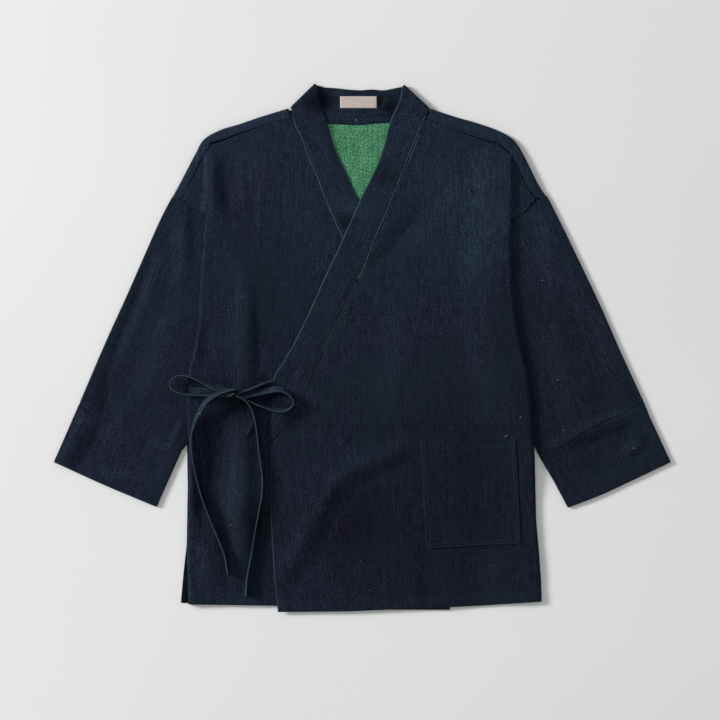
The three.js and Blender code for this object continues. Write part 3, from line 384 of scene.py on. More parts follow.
def twill_finish(name, warp, cool, violet, pale, worn, streaks=1.0, bump=1.0, grain=1.0, painted_shade_and_tone_patches=()):
    """Yarn-dyed twill: warp colour with cool and violet streaks along the yarn, pale flecks of weft,
    slanting ribs 1.1 mm apart as relief, and a worn colour where the wear attribute says, which on
    the right front's lower side edge is a painted highlight. The fade attribute scales the colour
    from half to one and a half: on folds it is painted shade in the troughs and painted light on the
    ridges. Each patch multiplies the colour round a place: metres x and y, radius, and what the colour
    is multiplied by; many of the navy patches are painted shade."""
    material, signal, shader = new_finish(name, 0.9, 0.05)
    cloth = signal.add("ShaderNodeUVMap", {"uv_map": "warp"})
    across = signal.add("ShaderNodeSeparateXYZ", None, {0: cloth}, 0)
    along = signal.add("ShaderNodeSeparateXYZ", None, {0: cloth}, 1)

    def woven(waves_across, waves_along, start, detail, roughness):
        """Noise stretched along the yarn, with so many waves in a centimetre across it and along it."""
        place = signal.vector(across * waves_across, along * waves_along, start)
        return signal.noise(place, 1.0, detail, roughness)

    solid = signal.add("ShaderNodeTexCoord", out=3)
    cloud = signal.noise(solid, 7.0, 3.0, 0.6)
    slub = woven(6.5, 0.7, 0.0, 3.0, 0.7)
    speck = woven(5.6, 4.4, 7.0, 3.0, 0.8)
    mottle = woven(0.8, 0.5, 17.0, 3.0, 0.6)
    streak = woven(3.2, 0.16, 3.0, 2.0, 0.6)
    yarn = woven(15.0, 2.2, 9.0, 1.0, 0.5)
    tint = woven(1.1, 0.1, 5.0, 2.0, 0.55)
    hue = woven(1.3, 0.8, 13.0, 3.0, 0.7)
    mean_tone, half_range = 0.508, 0.047 / grain
    tone = slub * (0.24 * streaks) + speck * (0.8 - 0.24 * streaks) + streak * 0.13 + mottle * 0.07
    tone = tone.between(mean_tone - half_range, mean_tone + half_range)
    cool_share = (tint * 0.25 + speck * 0.15 + cloud * 0.6).between(0.45, 0.62) * (0.62 * streaks)
    violet_share = (hue * 0.8 + speck * 0.2).between(0.49, 0.62) * (0.5 * streaks)
    colour = tone.mix(warp, pale)
    colour = cool_share.mix(colour, cool)
    colour = violet_share.mix(colour, violet)
    # Patches of painted shade, and of tone, each multiplying the colour round its place.
    for x, y, radius, strength in painted_shade_and_tone_patches:
        reach = signal.add(
            "ShaderNodeVectorMath", {"operation": "DISTANCE"}, {0: solid, 1: (x, y, 0.005)}, 1
        )
        near = 1 - (reach / radius).between(0.0, 1.0)
        near = near * near * (3 - 2 * near)
        colour = near.mix((1.0, 1.0, 1.0), strength).times(colour)
    # The fade mark scales the colour from half to one and a half: on folds, painted shade in the troughs
    # and painted light on the ridges.
    fade = signal.add("ShaderNodeAttribute", {"attribute_name": "fade"}, out=2)
    faded = fade.between(-1.0, 1.0).mix((0.5, 0.5, 0.54), (1.5, 1.52, 1.46))
    colour = colour.times(faded)
    spot = signal.add(
        "ShaderNodeTexVoronoi", {"voronoi_dimensions": "2D"},
        {"Vector": signal.vector(across, along), "Scale": 0.13},
    )
    lint = 1 - spot.between(0.007, 0.011)
    colour = (lint * 0.75).mix(colour, worn)
    wear = signal.add("ShaderNodeAttribute", {"attribute_name": "wear"}, out=2)
    colour = (wear * (slub * 1.1 + 0.35)).mix(colour, worn)
    rib_pitch = 0.11
    slant = (across * 0.8 + along * 0.6) * (2 * math.pi / rib_pitch)
    relief = slant.maths("SINE", slant) * 0.35 + yarn + speck * 1.6 + slub * 1.2
    normal = signal.add(
        "ShaderNodeBump", None, {"Strength": bump, "Distance": 0.0003, "Height": relief}
    )
    signal.tree.links.new(colour.socket, shader.inputs["Base Color"])
    signal.tree.links.new(normal.socket, shader.inputs["Normal"])
    return material


tape_finish = twill_finish(
    "indigo_tape_twill", (0.010, 0.016, 0.030), (0.016, 0.032, 0.045), (0.018, 0.020, 0.042),
    (0.034, 0.050, 0.078), (0.036, 0.070, 0.074), bump=1.2,
)
# A paler copy of the tape with a near-white worn colour, for the knot's upper wrap: painted light.
painted_light_tape_finish = twill_finish(
    "indigo_tape_painted_light", (0.016, 0.026, 0.042), (0.026, 0.046, 0.060), (0.026, 0.030, 0.056),
    (0.060, 0.085, 0.115), (0.22, 0.29, 0.31), bump=1.2,
)
# A darker copy of the tape, for the knot's core and the back's slit: painted shade.
painted_shade_tape_finish = twill_finish(
    "indigo_tape_painted_shade", (0.003, 0.005, 0.010), (0.005, 0.010, 0.014), (0.006, 0.006, 0.014),
    (0.012, 0.018, 0.028), (0.030, 0.060, 0.064), bump=1.2,
)


def tape(name, rows, steps, seed):
    """Tape through rows of x, y, lift and tilt: its middle stands on what lies below, by the lift and
    half its own tilted height, and its flat turns by the tilt about the way it runs."""
    stations = refined(rows, steps)
    x, y, lift = stations[:, 0], stations[:, 1], stations[:, 2]
    tilt = np.radians(stations[:, 3])
    high = TAPE_WIDTH / 2 * np.abs(np.sin(tilt)) + TAPE_THICK / 2 * np.abs(np.cos(tilt))
    centre = np.stack([x, y, top_below_ties(x, y) + lift + high], axis=1)
    ahead = unit(np.gradient(centre, axis=0))
    level = unit(np.stack([-ahead[:, 1], ahead[:, 0], np.zeros(len(x))], axis=1))
    up = np.cross(ahead, level)
    wide = level * np.cos(tilt)[:, None] + up * np.sin(tilt)[:, None]
    thin = np.cross(ahead, wide)
    piece = swept(name, centre, wide, thin, TAPE_WIDTH / 2, TAPE_THICK / 2, tape_finish, seed)
    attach(piece, "root")
    return piece, centre


# Rows of x, y, lift above what lies below, and tilt in degrees
TAIL_RIGHT = [
    (-183, -59.5, 9.5, 78), (-190, -61, 10.4, 78), (-197, -62.8, 10.6, 74), (-205, -65.2, 10.6, 68),
    (-214, -69.5, 10.4, 60), (-223.5, -76, 9.6, 56), (-230, -84, 7.6, 57), (-236, -94, 4.8, 62),
    (-242, -106.5, 2.2, 72), (-246, -121, 1.2, 80), (-247.6, -134, 0.8, 84), (-246.8, -148, 0.8, 86),
    (-244.5, -166, 0.8, 87), (-240, -189, 0.8, 87), (-233, -214, 0.8, 88), (-224, -239, 0.8, 88),
    (-215, -262, 0.8, 86), (-206, -283, 0.8, 87), (-199, -302, 0.8, 84), (-195, -328, 0.8, 80),
]
TAIL_LEFT = [
    (-182, -70.5, 7, 78), (-174.5, -73.5, 6.6, 80), (-166, -80.5, 4.6, 82), (-160, -90.5, 2, 84),
    (-156, -105, 0.8, 86), (-152.8, -121, 0.8, 88), (-150, -146, 0.8, 88), (-147, -168, 0.8, 87),
    (-144.5, -190, 0.8, 85), (-145.5, -214, 0.8, 86), (-150, -240, 0.8, 88), (-155, -266, 0.8, 88),
    (-159, -290, 0.8, 88), (-163, -312, 0.8, 86), (-167, -334, 0.8, 84), (-169, -359, 0.8, 76),
]
TAPE_STEPS = 7
for tail_name, rows, seed in (("tail_right", TAIL_RIGHT, 11), ("tail_left", TAIL_LEFT, 12)):
    tail, route = tape("tape_" + tail_name, rows, TAPE_STEPS, seed)
    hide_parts(tail_name)

# The ties up to the knot, the bow's loops and its knot.
# The same tape: one tie comes from under the band's end, one from the right side seam, and the loops
# stand on their edges. The knot is a tape wound twice over the middle.
TIE_FRONT = [
    (-130, -47.5, -7.4, 74), (-135, -49, -4.5, 76), (-141, -51, -1, 78), (-149, -54, 1.2, 80),
    (-158, -58, 2, 82), (-168.5, -62, 2.4, 80), (-180, -65, 3.4, 66),
]
TIE_SIDE = [
    (-250, -63.2, 0.5, 0), (-240, -63.4, 0.5, 0), (-228, -63.8, 0.5, 2), (-216, -64.4, 0.5, 2),
    (-203, -65.2, 0.5, 2), (-190, -66.4, 1.5, 8),
]
LOOP_RIGHT = [
    (-191, -64, 5, 40), (-201.5, -61.5, 3.6, 44), (-212, -58, 3.4, 56), (-224, -53, 3.0, 70),
    (-238, -46.5, 1.6, 80), (-251, -41.5, 1.0, 85), (-262, -40, 0.9, 87), (-272, -43.5, 1.8, 90),
    (-277.5, -51, 2.2, 90), (-275, -59, 2.2, 91), (-267, -64.2, 1.5, 93), (-256, -67.0, 1.4, 95),
    (-242, -68.2, 1.4, 97), (-226, -68.6, 1.5, 100), (-213, -68.2, 1.8, 106), (-203, -67.6, 2.2, 112),
    (-192, -67, 3.0, 120),
]
LOOP_LEFT = [
    (-178, -69.5, 4.6, -40), (-167.5, -69, 4.0, -42), (-154, -65.8, 3.2, -42), (-140, -62.6, 2.4, -40),
    (-125, -60, 1.4, -42), (-113, -62, 1.0, -58), (-104, -69, 0.8, -76), (-99.5, -77.5, 0.8, -86),
    (-102.5, -86, 0.8, -98), (-112, -90.5, 0.8, -112), (-124, -90.5, 0.8, -114), (-138, -87, 1.6, -104),
    (-152, -82, 2.0, -98), (-165, -76.5, 2.6, -95), (-177, -72, 3.4, -95),
]
LOOP_STEPS = 8
for part_name, rows, seed in (
    ("tie_front", TIE_FRONT, 13), ("tie_side", TIE_SIDE, 14),
    ("bow_loop_right", LOOP_RIGHT, 15), ("bow_loop_left", LOOP_LEFT, 16),
):
    piece, _ = tape("tape_" + part_name, rows, LOOP_STEPS, seed)
    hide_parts(part_name)

KNOT_MIDDLE = (-187, -65.5)
KNOT_TURN = math.radians(47)
KNOT_FOOT = 4.4


def knot_wrap(name, shift, slide, reach, high, width, seed, lean, rubbed, finish):
    """Tape arched over the knot: across the bow it follows a half ellipse, reach wide and high tall,
    with its feet turned under. shift moves it along the bow, slide across it, and lean tips its flat.
    rubbed is the least wear of its surface."""
    angle = np.linspace(math.radians(-28), math.radians(208), 40)
    along_bow = np.array([math.cos(KNOT_TURN - math.pi / 2), math.sin(KNOT_TURN - math.pi / 2)])
    over = np.array([math.cos(KNOT_TURN), math.sin(KNOT_TURN)])
    base = float(top_below_ties(np.array(KNOT_MIDDLE[0]), np.array(KNOT_MIDDLE[1]))) + KNOT_FOOT
    sway = 1.6 * np.cos(angle)
    flat = np.outer(slide + reach * np.cos(angle), over) + np.outer(shift + sway, along_bow)
    z = base + (high - KNOT_FOOT) * np.abs(np.sin(angle)) ** 0.8 * np.sign(np.sin(angle))
    centre = np.column_stack([flat + np.array(KNOT_MIDDLE), z])
    ahead = unit(np.gradient(centre, axis=0))
    wide = unit(np.tile([*along_bow, lean], (len(angle), 1)))
    thin = unit(np.cross(ahead, wide))
    piece = swept(name, centre, wide, thin, width / 2, TAPE_THICK / 2, finish, seed, rubbed)
    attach(piece, "root")
    return piece


# The upper wrap takes the paler copy of the tape: its top is painted light.
knot = knot_wrap(
    "knot_wrap_top", shift=-1.0, slide=-4.0, reach=5.2, high=15.5, width=5.4, seed=17, lean=0.7,
    rubbed=0.12, finish=painted_light_tape_finish,
)
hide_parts("bow_knot")
knot_wrap(
    "knot_wrap_low", shift=7.0, slide=2.0, reach=4.5, high=12.0, width=3.4, seed=18, lean=-0.9,
    rubbed=0.3, finish=tape_finish,
)
# The core takes the darker copy of the tape: painted shade between the wraps.
knot_wrap(
    "knot_core", shift=2.0, slide=0.0, reach=5.4, high=11.0, width=11.0, seed=19, lean=0.0,
    rubbed=0.0, finish=painted_shade_tape_finish,
)

# Back panel.
# One length of double-faced twill, navy outside and green inside, laid on the floor. Over the
# shoulders it rolls forward to the shoulder seams, and its turned hems show at the slits.
LEFT_SHOULDER_FOLD = [
    (99, 346), (132, 335), (170, 324), (199, 313), (220, 300), (231, 284), (257, 233), (270, 214),
]
RIGHT_SHOULDER_FOLD = [
    (-277, 214), (-264, 238), (-242, 280), (-230, 301), (-206, 315), (-177, 324), (-148, 334),
    (-107, 346.5),
]
RIGHT_SHOULDER_SEAM = [
    (-224, 288), (-219, 298), (-204, 301), (-178, 311), (-148, 321), (-119, 329), (-102, 332),
]
LEFT_SHOULDER_SEAM = [(91.6, 330), (132, 317), (170, 304), (198, 296), (213, 284)]
RIGHT_LOBE_SEAM = [(-224, 287), (-236, 268), (-247, 245), (-260, 216)]
LEFT_LOBE_SEAM = [(213, 283), (227, 260), (240, 232), (252, 217)]
BACK_HEM = [(-263, -370), (-120, -371), (60, -371), (258, -367)]
RIGHT_BACK_SIDE = [
    (-263, -370), (-259, -325), (-254.5, -285), (-253, -200), (-254.2, -138), (-222, -59), (-189.2, 20),
]
LEFT_BACK_SIDE = [
    (258, -367), (257, -325), (253, -285), (250, -200), (249.4, -147), (219, -62), (189.2, 20),
]
# Collar band's run over the back neck: seam x and y, free x and y, level
BACK_BAND = [
    (-80, 335.5, -55, 377, 1.3), (-52, 325.4, -38, 376, 1.3), (-26, 322.9, -20, 374, 1.3),
    (-3, 322.4, -3, 373, 1.3), (20, 324.6, 14, 374, 1.3), (42, 326.4, 31, 373, 1.3),
    (70, 334.5, 47, 376, 1.3),
]
BACK_LEVEL = CLOTH / 2
SHOULDER_ROLL = 2.5


def line_through(rows, smooth):
    """A line as a function of the share of its length. Smooth: cubics with slopes taken from the
    neighbours, weighted by the square roots of the gaps. Otherwise straight from row to row."""
    p = np.array([row[:2] for row in rows], float)
    if smooth:
        ends = np.vstack([2 * p[0] - p[1], p, 2 * p[-1] - p[-2]])
        gap = np.sqrt(np.linalg.norm(np.diff(ends, axis=0), axis=1))[:, None]
        a, b, c, d = ends[:-3], ends[1:-2], ends[2:-1], ends[3:]
        g0, g1, g2 = gap[:-2], gap[1:-1], gap[2:]
        leave = ((b - a) / g0 - (c - a) / (g0 + g1) + (c - b) / g1) * g1
        reach = ((c - b) / g1 - (d - b) / (g1 + g2) + (d - c) / g2) * g1
        t = np.linspace(0, 1, 24, endpoint=False)[:, None, None]
        dense = b + leave * t + (3 * (c - b) - 2 * leave - reach) * t**2
        dense = dense + (2 * (b - c) + leave + reach) * t**3
        p = np.vstack([dense.transpose(1, 0, 2).reshape(-1, 2), p[-1:]])
    length = np.concatenate([[0], np.cumsum(np.linalg.norm(np.diff(p, axis=0), axis=1))])
    length = length / length[-1]
    return lambda share: np.stack([np.interp(share, length, p[:, k]) for k in (0, 1)], axis=-1)


def patch_between(low, high, near, far, u, v):
    """Surface between four edges: both ruled surfaces added, less the bilinear one of the corners."""
    along_u, along_v = u[..., None], v[..., None]
    ruled = (1 - along_v) * low(u) + along_v * high(u) + (1 - along_u) * near(v) + along_u * far(v)
    zero, one = np.zeros(1), np.ones(1)
    corners = (1 - along_u) * (1 - along_v) * low(zero) + along_u * (1 - along_v) * low(one)
    corners = corners + (1 - along_u) * along_v * high(zero) + along_u * along_v * high(one)
    return ruled - corners


def edge_distance(middle, first=0):
    """Distance along the cloth of every grid point from a first column, from the last column, from the
    first row and from the last row: sums of the steps between points."""
    step = np.linalg.norm(np.diff(middle, axis=1), axis=2)
    across = np.concatenate([np.zeros((len(middle), 1)), np.cumsum(step, axis=1)], axis=1)
    step = np.linalg.norm(np.diff(middle, axis=0), axis=2)
    down = np.concatenate([np.zeros((1, middle.shape[1])), np.cumsum(step, axis=0)], axis=0)
    return across - across[:, first:first + 1], across[:, -1:] - across, down, down[-1:] - down


def rounded_edge(distance, radius):
    """Share of full thickness near a folded edge: a quarter circle that rises over the radius."""
    thinnest = 0.12
    share = np.clip(distance / radius, 0, 1)
    return np.maximum(thinnest, np.sqrt(np.maximum(0, 1 - (1 - share) ** 2)))


def cloth_wall(
    name, middle, thick, place, wear, finishes, fade=0.0, around=False, kept=None, turned=None,
):
    """Closed thin wall: each grid point goes half the thickness out and in along the mean normal of the
    kept cells round it, and a rim closes it where a kept cell has no kept neighbour. turned gives the
    number of the finish that each cell shows on its outer face."""
    rows, columns = middle.shape[:2]
    if kept is None:
        kept = np.ones((rows - 1, columns if around else columns - 1), bool)
    j, i = np.nonzero(kept)
    beside = (i + 1) % columns
    a, b = j * columns + i, j * columns + beside
    c, d = (j + 1) * columns + beside, (j + 1) * columns + i
    flat = middle.reshape(-1, 3)
    face_normal = unit(np.cross(flat[c] - flat[a], flat[d] - flat[b]))
    normal = np.zeros_like(flat)
    for corner in (a, b, c, d):
        np.add.at(normal, corner, face_normal)
    half = unit(normal) * (np.broadcast_to(thick, (rows, columns)).reshape(-1, 1) / 2)
    count = rows * columns
    bordered = np.pad(kept, ((1, 1), (1, 1)))
    if around:
        bordered[1:-1, 0], bordered[1:-1, -1] = kept[:, -1], kept[:, 0]
    below, above = ~bordered[:-2, 1:-1][j, i], ~bordered[2:, 1:-1][j, i]
    before, behind = ~bordered[1:-1, :-2][j, i], ~bordered[1:-1, 2:][j, i]
    outer = np.stack([a, b, c, d], axis=1)
    inner = np.stack([a, d, c, b], axis=1) + count
    rims = [
        np.stack([p, p + count, q + count, q], axis=1)[which]
        for p, q, which in ((a, b, below), (c, d, above), (d, a, before), (b, c, behind))
    ]
    faces = np.vstack([outer, inner, *rims])
    skin = np.zeros(len(faces), np.int32)
    skin[len(outer):2 * len(outer)] = 1
    if turned is not None:
        skin[:len(outer)] = turned[j, i]
        skin[2 * len(outer):] = 1
    used, renumbered = np.unique(faces, return_inverse=True)
    points = np.vstack([flat + half, flat - half])[used]
    piece = make_object(name, points, renumbered.reshape(-1, 4).tolist(), finishes, skin)
    marks = np.tile(np.asarray(place).reshape(-1, 2), (2, 1))[used]
    worn, faded = (np.tile(np.broadcast_to(m, (rows, columns)).ravel(), 2)[used] for m in (wear, fade))
    surface_marks(piece, marks, worn, faded)
    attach(piece, "root")
    return piece


def outer_face(middle, thick):
    """Outer face of a wall: its middle plus half its thickness along the cross product of its steps."""
    normal = unit(np.cross(np.gradient(middle, axis=1), np.gradient(middle, axis=0)))
    return middle + normal * np.broadcast_to(thick, middle.shape[:2])[..., None] / 2


def line_at(face, distance, wanted):
    """For each column of a face, the place where the distance from an edge reaches the wanted one."""
    after = np.clip((distance < wanted).sum(axis=0), 1, len(distance) - 1)
    column = np.arange(distance.shape[1])
    low, high = distance[after - 1, column], distance[after, column]
    share = np.clip((wanted - low) / np.maximum(high - low, 1e-6), 0, 1)[:, None]
    return face[after - 1, column] * (1 - share) + face[after, column] * share


navy_finish = twill_finish(
    "indigo_twill", (0.0045, 0.0066, 0.0150), (0.0088, 0.0200, 0.0285), (0.0125, 0.0125, 0.0300),
    (0.0220, 0.0315, 0.0530), (0.05, 0.095, 0.105),
    # 0.041), the left front's band's shadow on the right front's band (-0.022, 0.184), a trough
    # Painted shade in these patches: at the band's turns round the neck (x -0.072, -0.053,
    # front (-0.02, -0.245). The three broadest make the cloth darker towards the hem and lighter at
    # of the left front's band (0.034, 0.250), round the bow's knot, loops and front tie (x -0.188
    # the chest and shoulders; the others vary the tone.
    # to -0.105), beside the right tail (x -0.21 and -0.235) and in the crease across the lower left
    painted_shade_and_tone_patches=(
        (0.060, 0.190, 0.100, (0.93, 0.90, 0.91)), (-0.170, 0.255, 0.070, (1.16, 1.07, 1.10)),
        (-0.200, -0.270, 0.075, (0.98, 0.91, 0.88)),
        (0.10, -0.25, 0.34, (0.80, 0.66, 0.66)), (0.10, 0.26, 0.26, (1.22, 1.30, 1.30)),
        (-0.15, 0.26, 0.22, (1.16, 1.16, 1.18)), (0.17, 0.17, 0.10, (1.05, 1.22, 1.15)),
        (-0.01, -0.18, 0.12, (1.0, 1.18, 1.15)), (-0.33, -0.05, 0.20, (1.0, 0.90, 0.94)),
        (-0.21, -0.14, 0.08, (0.82, 0.76, 0.74)), (-0.180, -0.20, 0.05, (1.0, 1.15, 1.08)),
        (0.31, -0.02, 0.28, (0.88, 0.80, 0.78)), (-0.053, 0.358, 0.022, (0.24, 0.24, 0.26)),
        (0.041, 0.348, 0.022, (0.26, 0.26, 0.28)), (-0.015, 0.205, 0.032, (1.25, 1.5, 1.4)),
        (0.034, 0.250, 0.030, (0.55, 0.56, 0.55)), (-0.153, -0.25, 0.06, (0.74, 0.66, 0.62)),
        (-0.072, 0.355, 0.024, (0.30, 0.28, 0.30)), (-0.02, -0.245, 0.085, (0.92, 0.72, 0.70)),
        (-0.030, 0.370, 0.018, (1.4, 1.45, 1.4)), (-0.235, -0.222, 0.030, (0.7, 0.66, 0.64)),
        (-0.130, -0.072, 0.024, (0.36, 0.36, 0.38)), (-0.165, -0.075, 0.024, (0.42, 0.42, 0.44)),
        (-0.188, -0.082, 0.020, (0.45, 0.45, 0.45)), (-0.022, 0.184, 0.022, (0.45, 0.45, 0.46)),
        (-0.145, -0.048, 0.016, (0.45, 0.46, 0.48)), (-0.105, -0.105, 0.026, (0.6, 0.58, 0.6)),
    ),
)
green_finish = twill_finish(
    "green_wrong_side", (0.030, 0.150, 0.064), (0.058, 0.26, 0.135), (0.045, 0.16, 0.105),
    (0.155, 0.44, 0.255), (0.12, 0.32, 0.2), streaks=0.25, bump=1.6, grain=1.9,
)


def spaced(count, power=1.0):
    """Shares from 0 to 1, closer together towards both ends: even steps mixed with a half cosine."""
    even = np.linspace(0, 1, count)
    return (1 - power) * even + power * (1 - np.cos(math.pi * even)) / 2


def shoulder_edge(fold_rows, seam_rows, shares):
    """For each share of a shoulder: the axis of its roll, the way out, and its place on the seam."""
    fold = line_through(fold_rows, True)(shares)
    seam = line_through(seam_rows, False)(shares)
    out = unit(fold - seam)
    axis = fold - out * (SHOULDER_ROLL + CLOTH / 2)
    return axis, out, seam


def back_panel():
    """Flat patch from hem to neck and shoulders, then a half circle over each shoulder and a level strip
    to its seam. Columns run from side to side, rows from the hem up and over."""
    side_columns, neck_columns, low_rows, high_rows, roll_rows, strip_rows = 46, 40, 60, 90, 9, 8
    right_seam = [
        (-261, 216), *[(x + 0.2, y - 0.2) for x, y in RIGHT_LOBE_SEAM[-2:0:-1]],
        *[(x + 0.2, y - 0.6) for x, y in RIGHT_SHOULDER_SEAM],
    ]
    left_seam = [
        *[(x - 0.2, y - 0.6) for x, y in LEFT_SHOULDER_SEAM],
        *[(x - 0.2, y - 0.2) for x, y in LEFT_LOBE_SEAM[1:-1]], (253, 217),
    ]
    shares = np.linspace(0, 1, side_columns)
    right_axis, right_out, right_at_seam = shoulder_edge(RIGHT_SHOULDER_FOLD, right_seam, shares)
    left_axis, left_out, left_at_seam = shoulder_edge(LEFT_SHOULDER_FOLD, left_seam, shares)
    neck = [(row[0], row[1] + 0.9) for row in BACK_BAND]
    neck_line = line_through([right_axis[-1], *neck, left_axis[0]], True)
    neck_points = neck_line(np.linspace(0, 1, neck_columns + 2))[1:-1]
    axis = np.vstack([right_axis, neck_points, left_axis])
    columns = len(axis)
    top_line = lambda u: np.stack(
        [np.interp(u, np.linspace(0, 1, columns), axis[:, k]) for k in (0, 1)], axis=-1
    )
    split = low_rows / (low_rows + high_rows)

    def side(rows, armhole, end, inward):
        """Side seam below, then the armhole moved inward, as one line of the share v."""
        low, high = line_through(rows, False), line_through([*armhole[:-1], end], True)
        lower = lambda v: low(np.clip(v / split, 0, 1))
        upper = lambda v: high(np.clip((v - split) / (1 - split), 0, 1)) + np.array([inward, 0])
        return lambda v: np.where((v <= split)[..., None], lower(v), upper(v))

    room = 1.3
    near = side(RIGHT_BACK_SIDE, RIGHT_ARMHOLE, (axis[0, 0] - room, axis[0, 1]), room)
    far = side(LEFT_BACK_SIDE, LEFT_ARMHOLE, (axis[-1, 0] + room, axis[-1, 1]), -room)
    u, v = np.meshgrid(np.linspace(0, 1, columns), np.linspace(0, 1, low_rows + high_rows + 1))
    flat = patch_between(line_through(BACK_HEM, False), top_line, near, far, u, v)
    lie = BACK_LEVEL + 0.35 * (1 + rippled(flat[..., 0], flat[..., 1], 21, 90, 1.4))
    lie = np.maximum(BACK_LEVEL, lie * (1 - 0.5 * eased(0.97, 1, v)))
    rows = [np.concatenate([flat, lie[..., None]], axis=2)]
    out = np.vstack([right_out, np.zeros((neck_columns, 2)), left_out])
    seam = np.vstack([right_at_seam, neck_points, left_at_seam])
    from_sleeve = np.minimum(np.arange(columns), columns - 1 - np.arange(columns)) / side_columns
    roll = (SHOULDER_ROLL - 0.6 * (1 - eased(0, 0.22, from_sleeve)))[:, None]
    for k in range(1, roll_rows + 1):
        angle = math.pi * (k / roll_rows - 0.5)
        place = axis + SHOULDER_ROLL * math.cos(angle) * out
        z = BACK_LEVEL + roll * (1 + math.sin(angle))
        rows.append(np.hstack([place, z])[None])
    for k in range(1, strip_rows + 1):
        place = axis + k / strip_rows * (seam - axis)
        z = BACK_LEVEL + 2 * roll + 0.35 * math.sin(math.pi * k / strip_rows)
        rows.append(np.hstack([place, z])[None])
    middle = np.vstack(rows)
    kept = np.ones((len(middle) - 1, columns - 1), bool)
    kept[low_rows + high_rows:, side_columns - 1:side_columns + neck_columns] = False
    return middle, kept


middle, kept = back_panel()
from_left, from_right, from_hem, _ = edge_distance(middle)
edge = np.minimum(np.minimum(from_left, from_right), from_hem)
turned_over = middle[..., 2] > BACK_LEVEL + SHOULDER_ROLL
# The fade mark is lighter over the turned-over shoulder strips, more on the right one. In the slit's
# sliver it is -1, and those cells take the darker copy of the tape without wear: painted shade.
in_slit = (middle[..., 0] < -250) & (middle[..., 1] < -262)
fade = np.where(turned_over, np.where(middle[..., 0] < 0, 1.0, 0.4), -1.0 * in_slit)
in_neck = (np.abs(middle[..., 0]) < 75) & (middle[..., 1] > 60) & (middle[..., 1] < 340)
back = cloth_wall(
    "cloth_back", middle, CLOTH * rounded_edge(edge, 0.5), middle[..., :2],
    0.06 * np.exp(-((edge / 1.2) ** 2)) * ~in_slit, [green_finish, navy_finish, painted_shade_tape_finish], fade,
    kept=kept, turned=np.where(in_neck, 0, np.where(in_slit, 2, 1))[:-1, :-1],
)
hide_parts("back")

# Sleeves and their cuff bands.
# Each is a tube of twill pressed flat, folded along its top and seamed below, dropped from a low
# armhole. The cuff is a separate band sewn to the sleeve's end.
SLEEVE_HEIGHT = 4.4
RIGHT_SLEEVE_FOLD = [(-277, 214), (-291, 189), (-313, 140), (-342, 74), (-372, 8), (-410, -81)]
LEFT_SLEEVE_FOLD = [(270, 214), (287, 182), (316, 122), (345, 61), (374, -5), (408, -79)]
RIGHT_CUFF_SEAM = [(-410, -81), (-385, -101), (-351, -111), (-325, -130), (-301, -141), (-262, -150)]
LEFT_CUFF_SEAM = [(408, -79), (385, -94), (352, -108), (320, -126), (285, -146), (255, -155)]
RIGHT_CUFF_HEM = [(-447, -166), (-372, -200), (-298, -231)]
LEFT_CUFF_HEM = [(447, -166), (403, -187), (345, -214), (298, -232)]
RIGHT_CUFF_OUTER = [(-410.3, -81.8), (-447, -166)]
LEFT_CUFF_OUTER = [(408.3, -79.8), (417, -101), (447, -166)]
RIGHT_CUFF_INNER = [(-262.3, -150.8), (-298, -231)]
LEFT_CUFF_INNER = [(255.3, -155.8), (277, -193), (298, -232)]
RIGHT_SLEEVE_FOLDS = [
    (-246, 207, -246, 112, 8, -1.4), (-262, 190, -262, 90, 11, 1.6), (-309, 120, -369, -34, 7, -1.3),
    (-294, 124, -352, -20, 10, 1.8), (-270, 60, -322, -70, 18, 1.5), (-373, -38, -378, -98, 9, -2.0),
    (-386, -118, -420, -172, 9, -2.2), (-402, -92, -438, -162, 8, 1.6), (-345, -82, -372, -160, 11, 1.2),
    (-306, -139, -272, -146, 5, 2.4), (-262, -108, -276, -138, 5, 1.8), (-250, -118, -262, -152, 4, -1.8),
    (-378, -187, -326, -182, 8, 1.2),
]
LEFT_SLEEVE_FOLDS = [
    (262, 190, 276, 80, 14, 1.8), (330, 60, 372, -40, 14, 1.8), (270, 20, 300, -90, 18, 1.4),
    (388, -112, 352, -124, 7, -1.7), (352, -124, 318, -140, 8, -2.0), (318, -140, 276, -156, 7, -1.6),
    (396, -90, 340, -106, 7, 1.8), (340, -106, 276, -142, 8, 1.6), (400, -138, 376, -154, 8, 1.6),
    (416, -140, 392, -160, 5, -1.2), (300, 120, 318, 40, 12, 1.2),
]


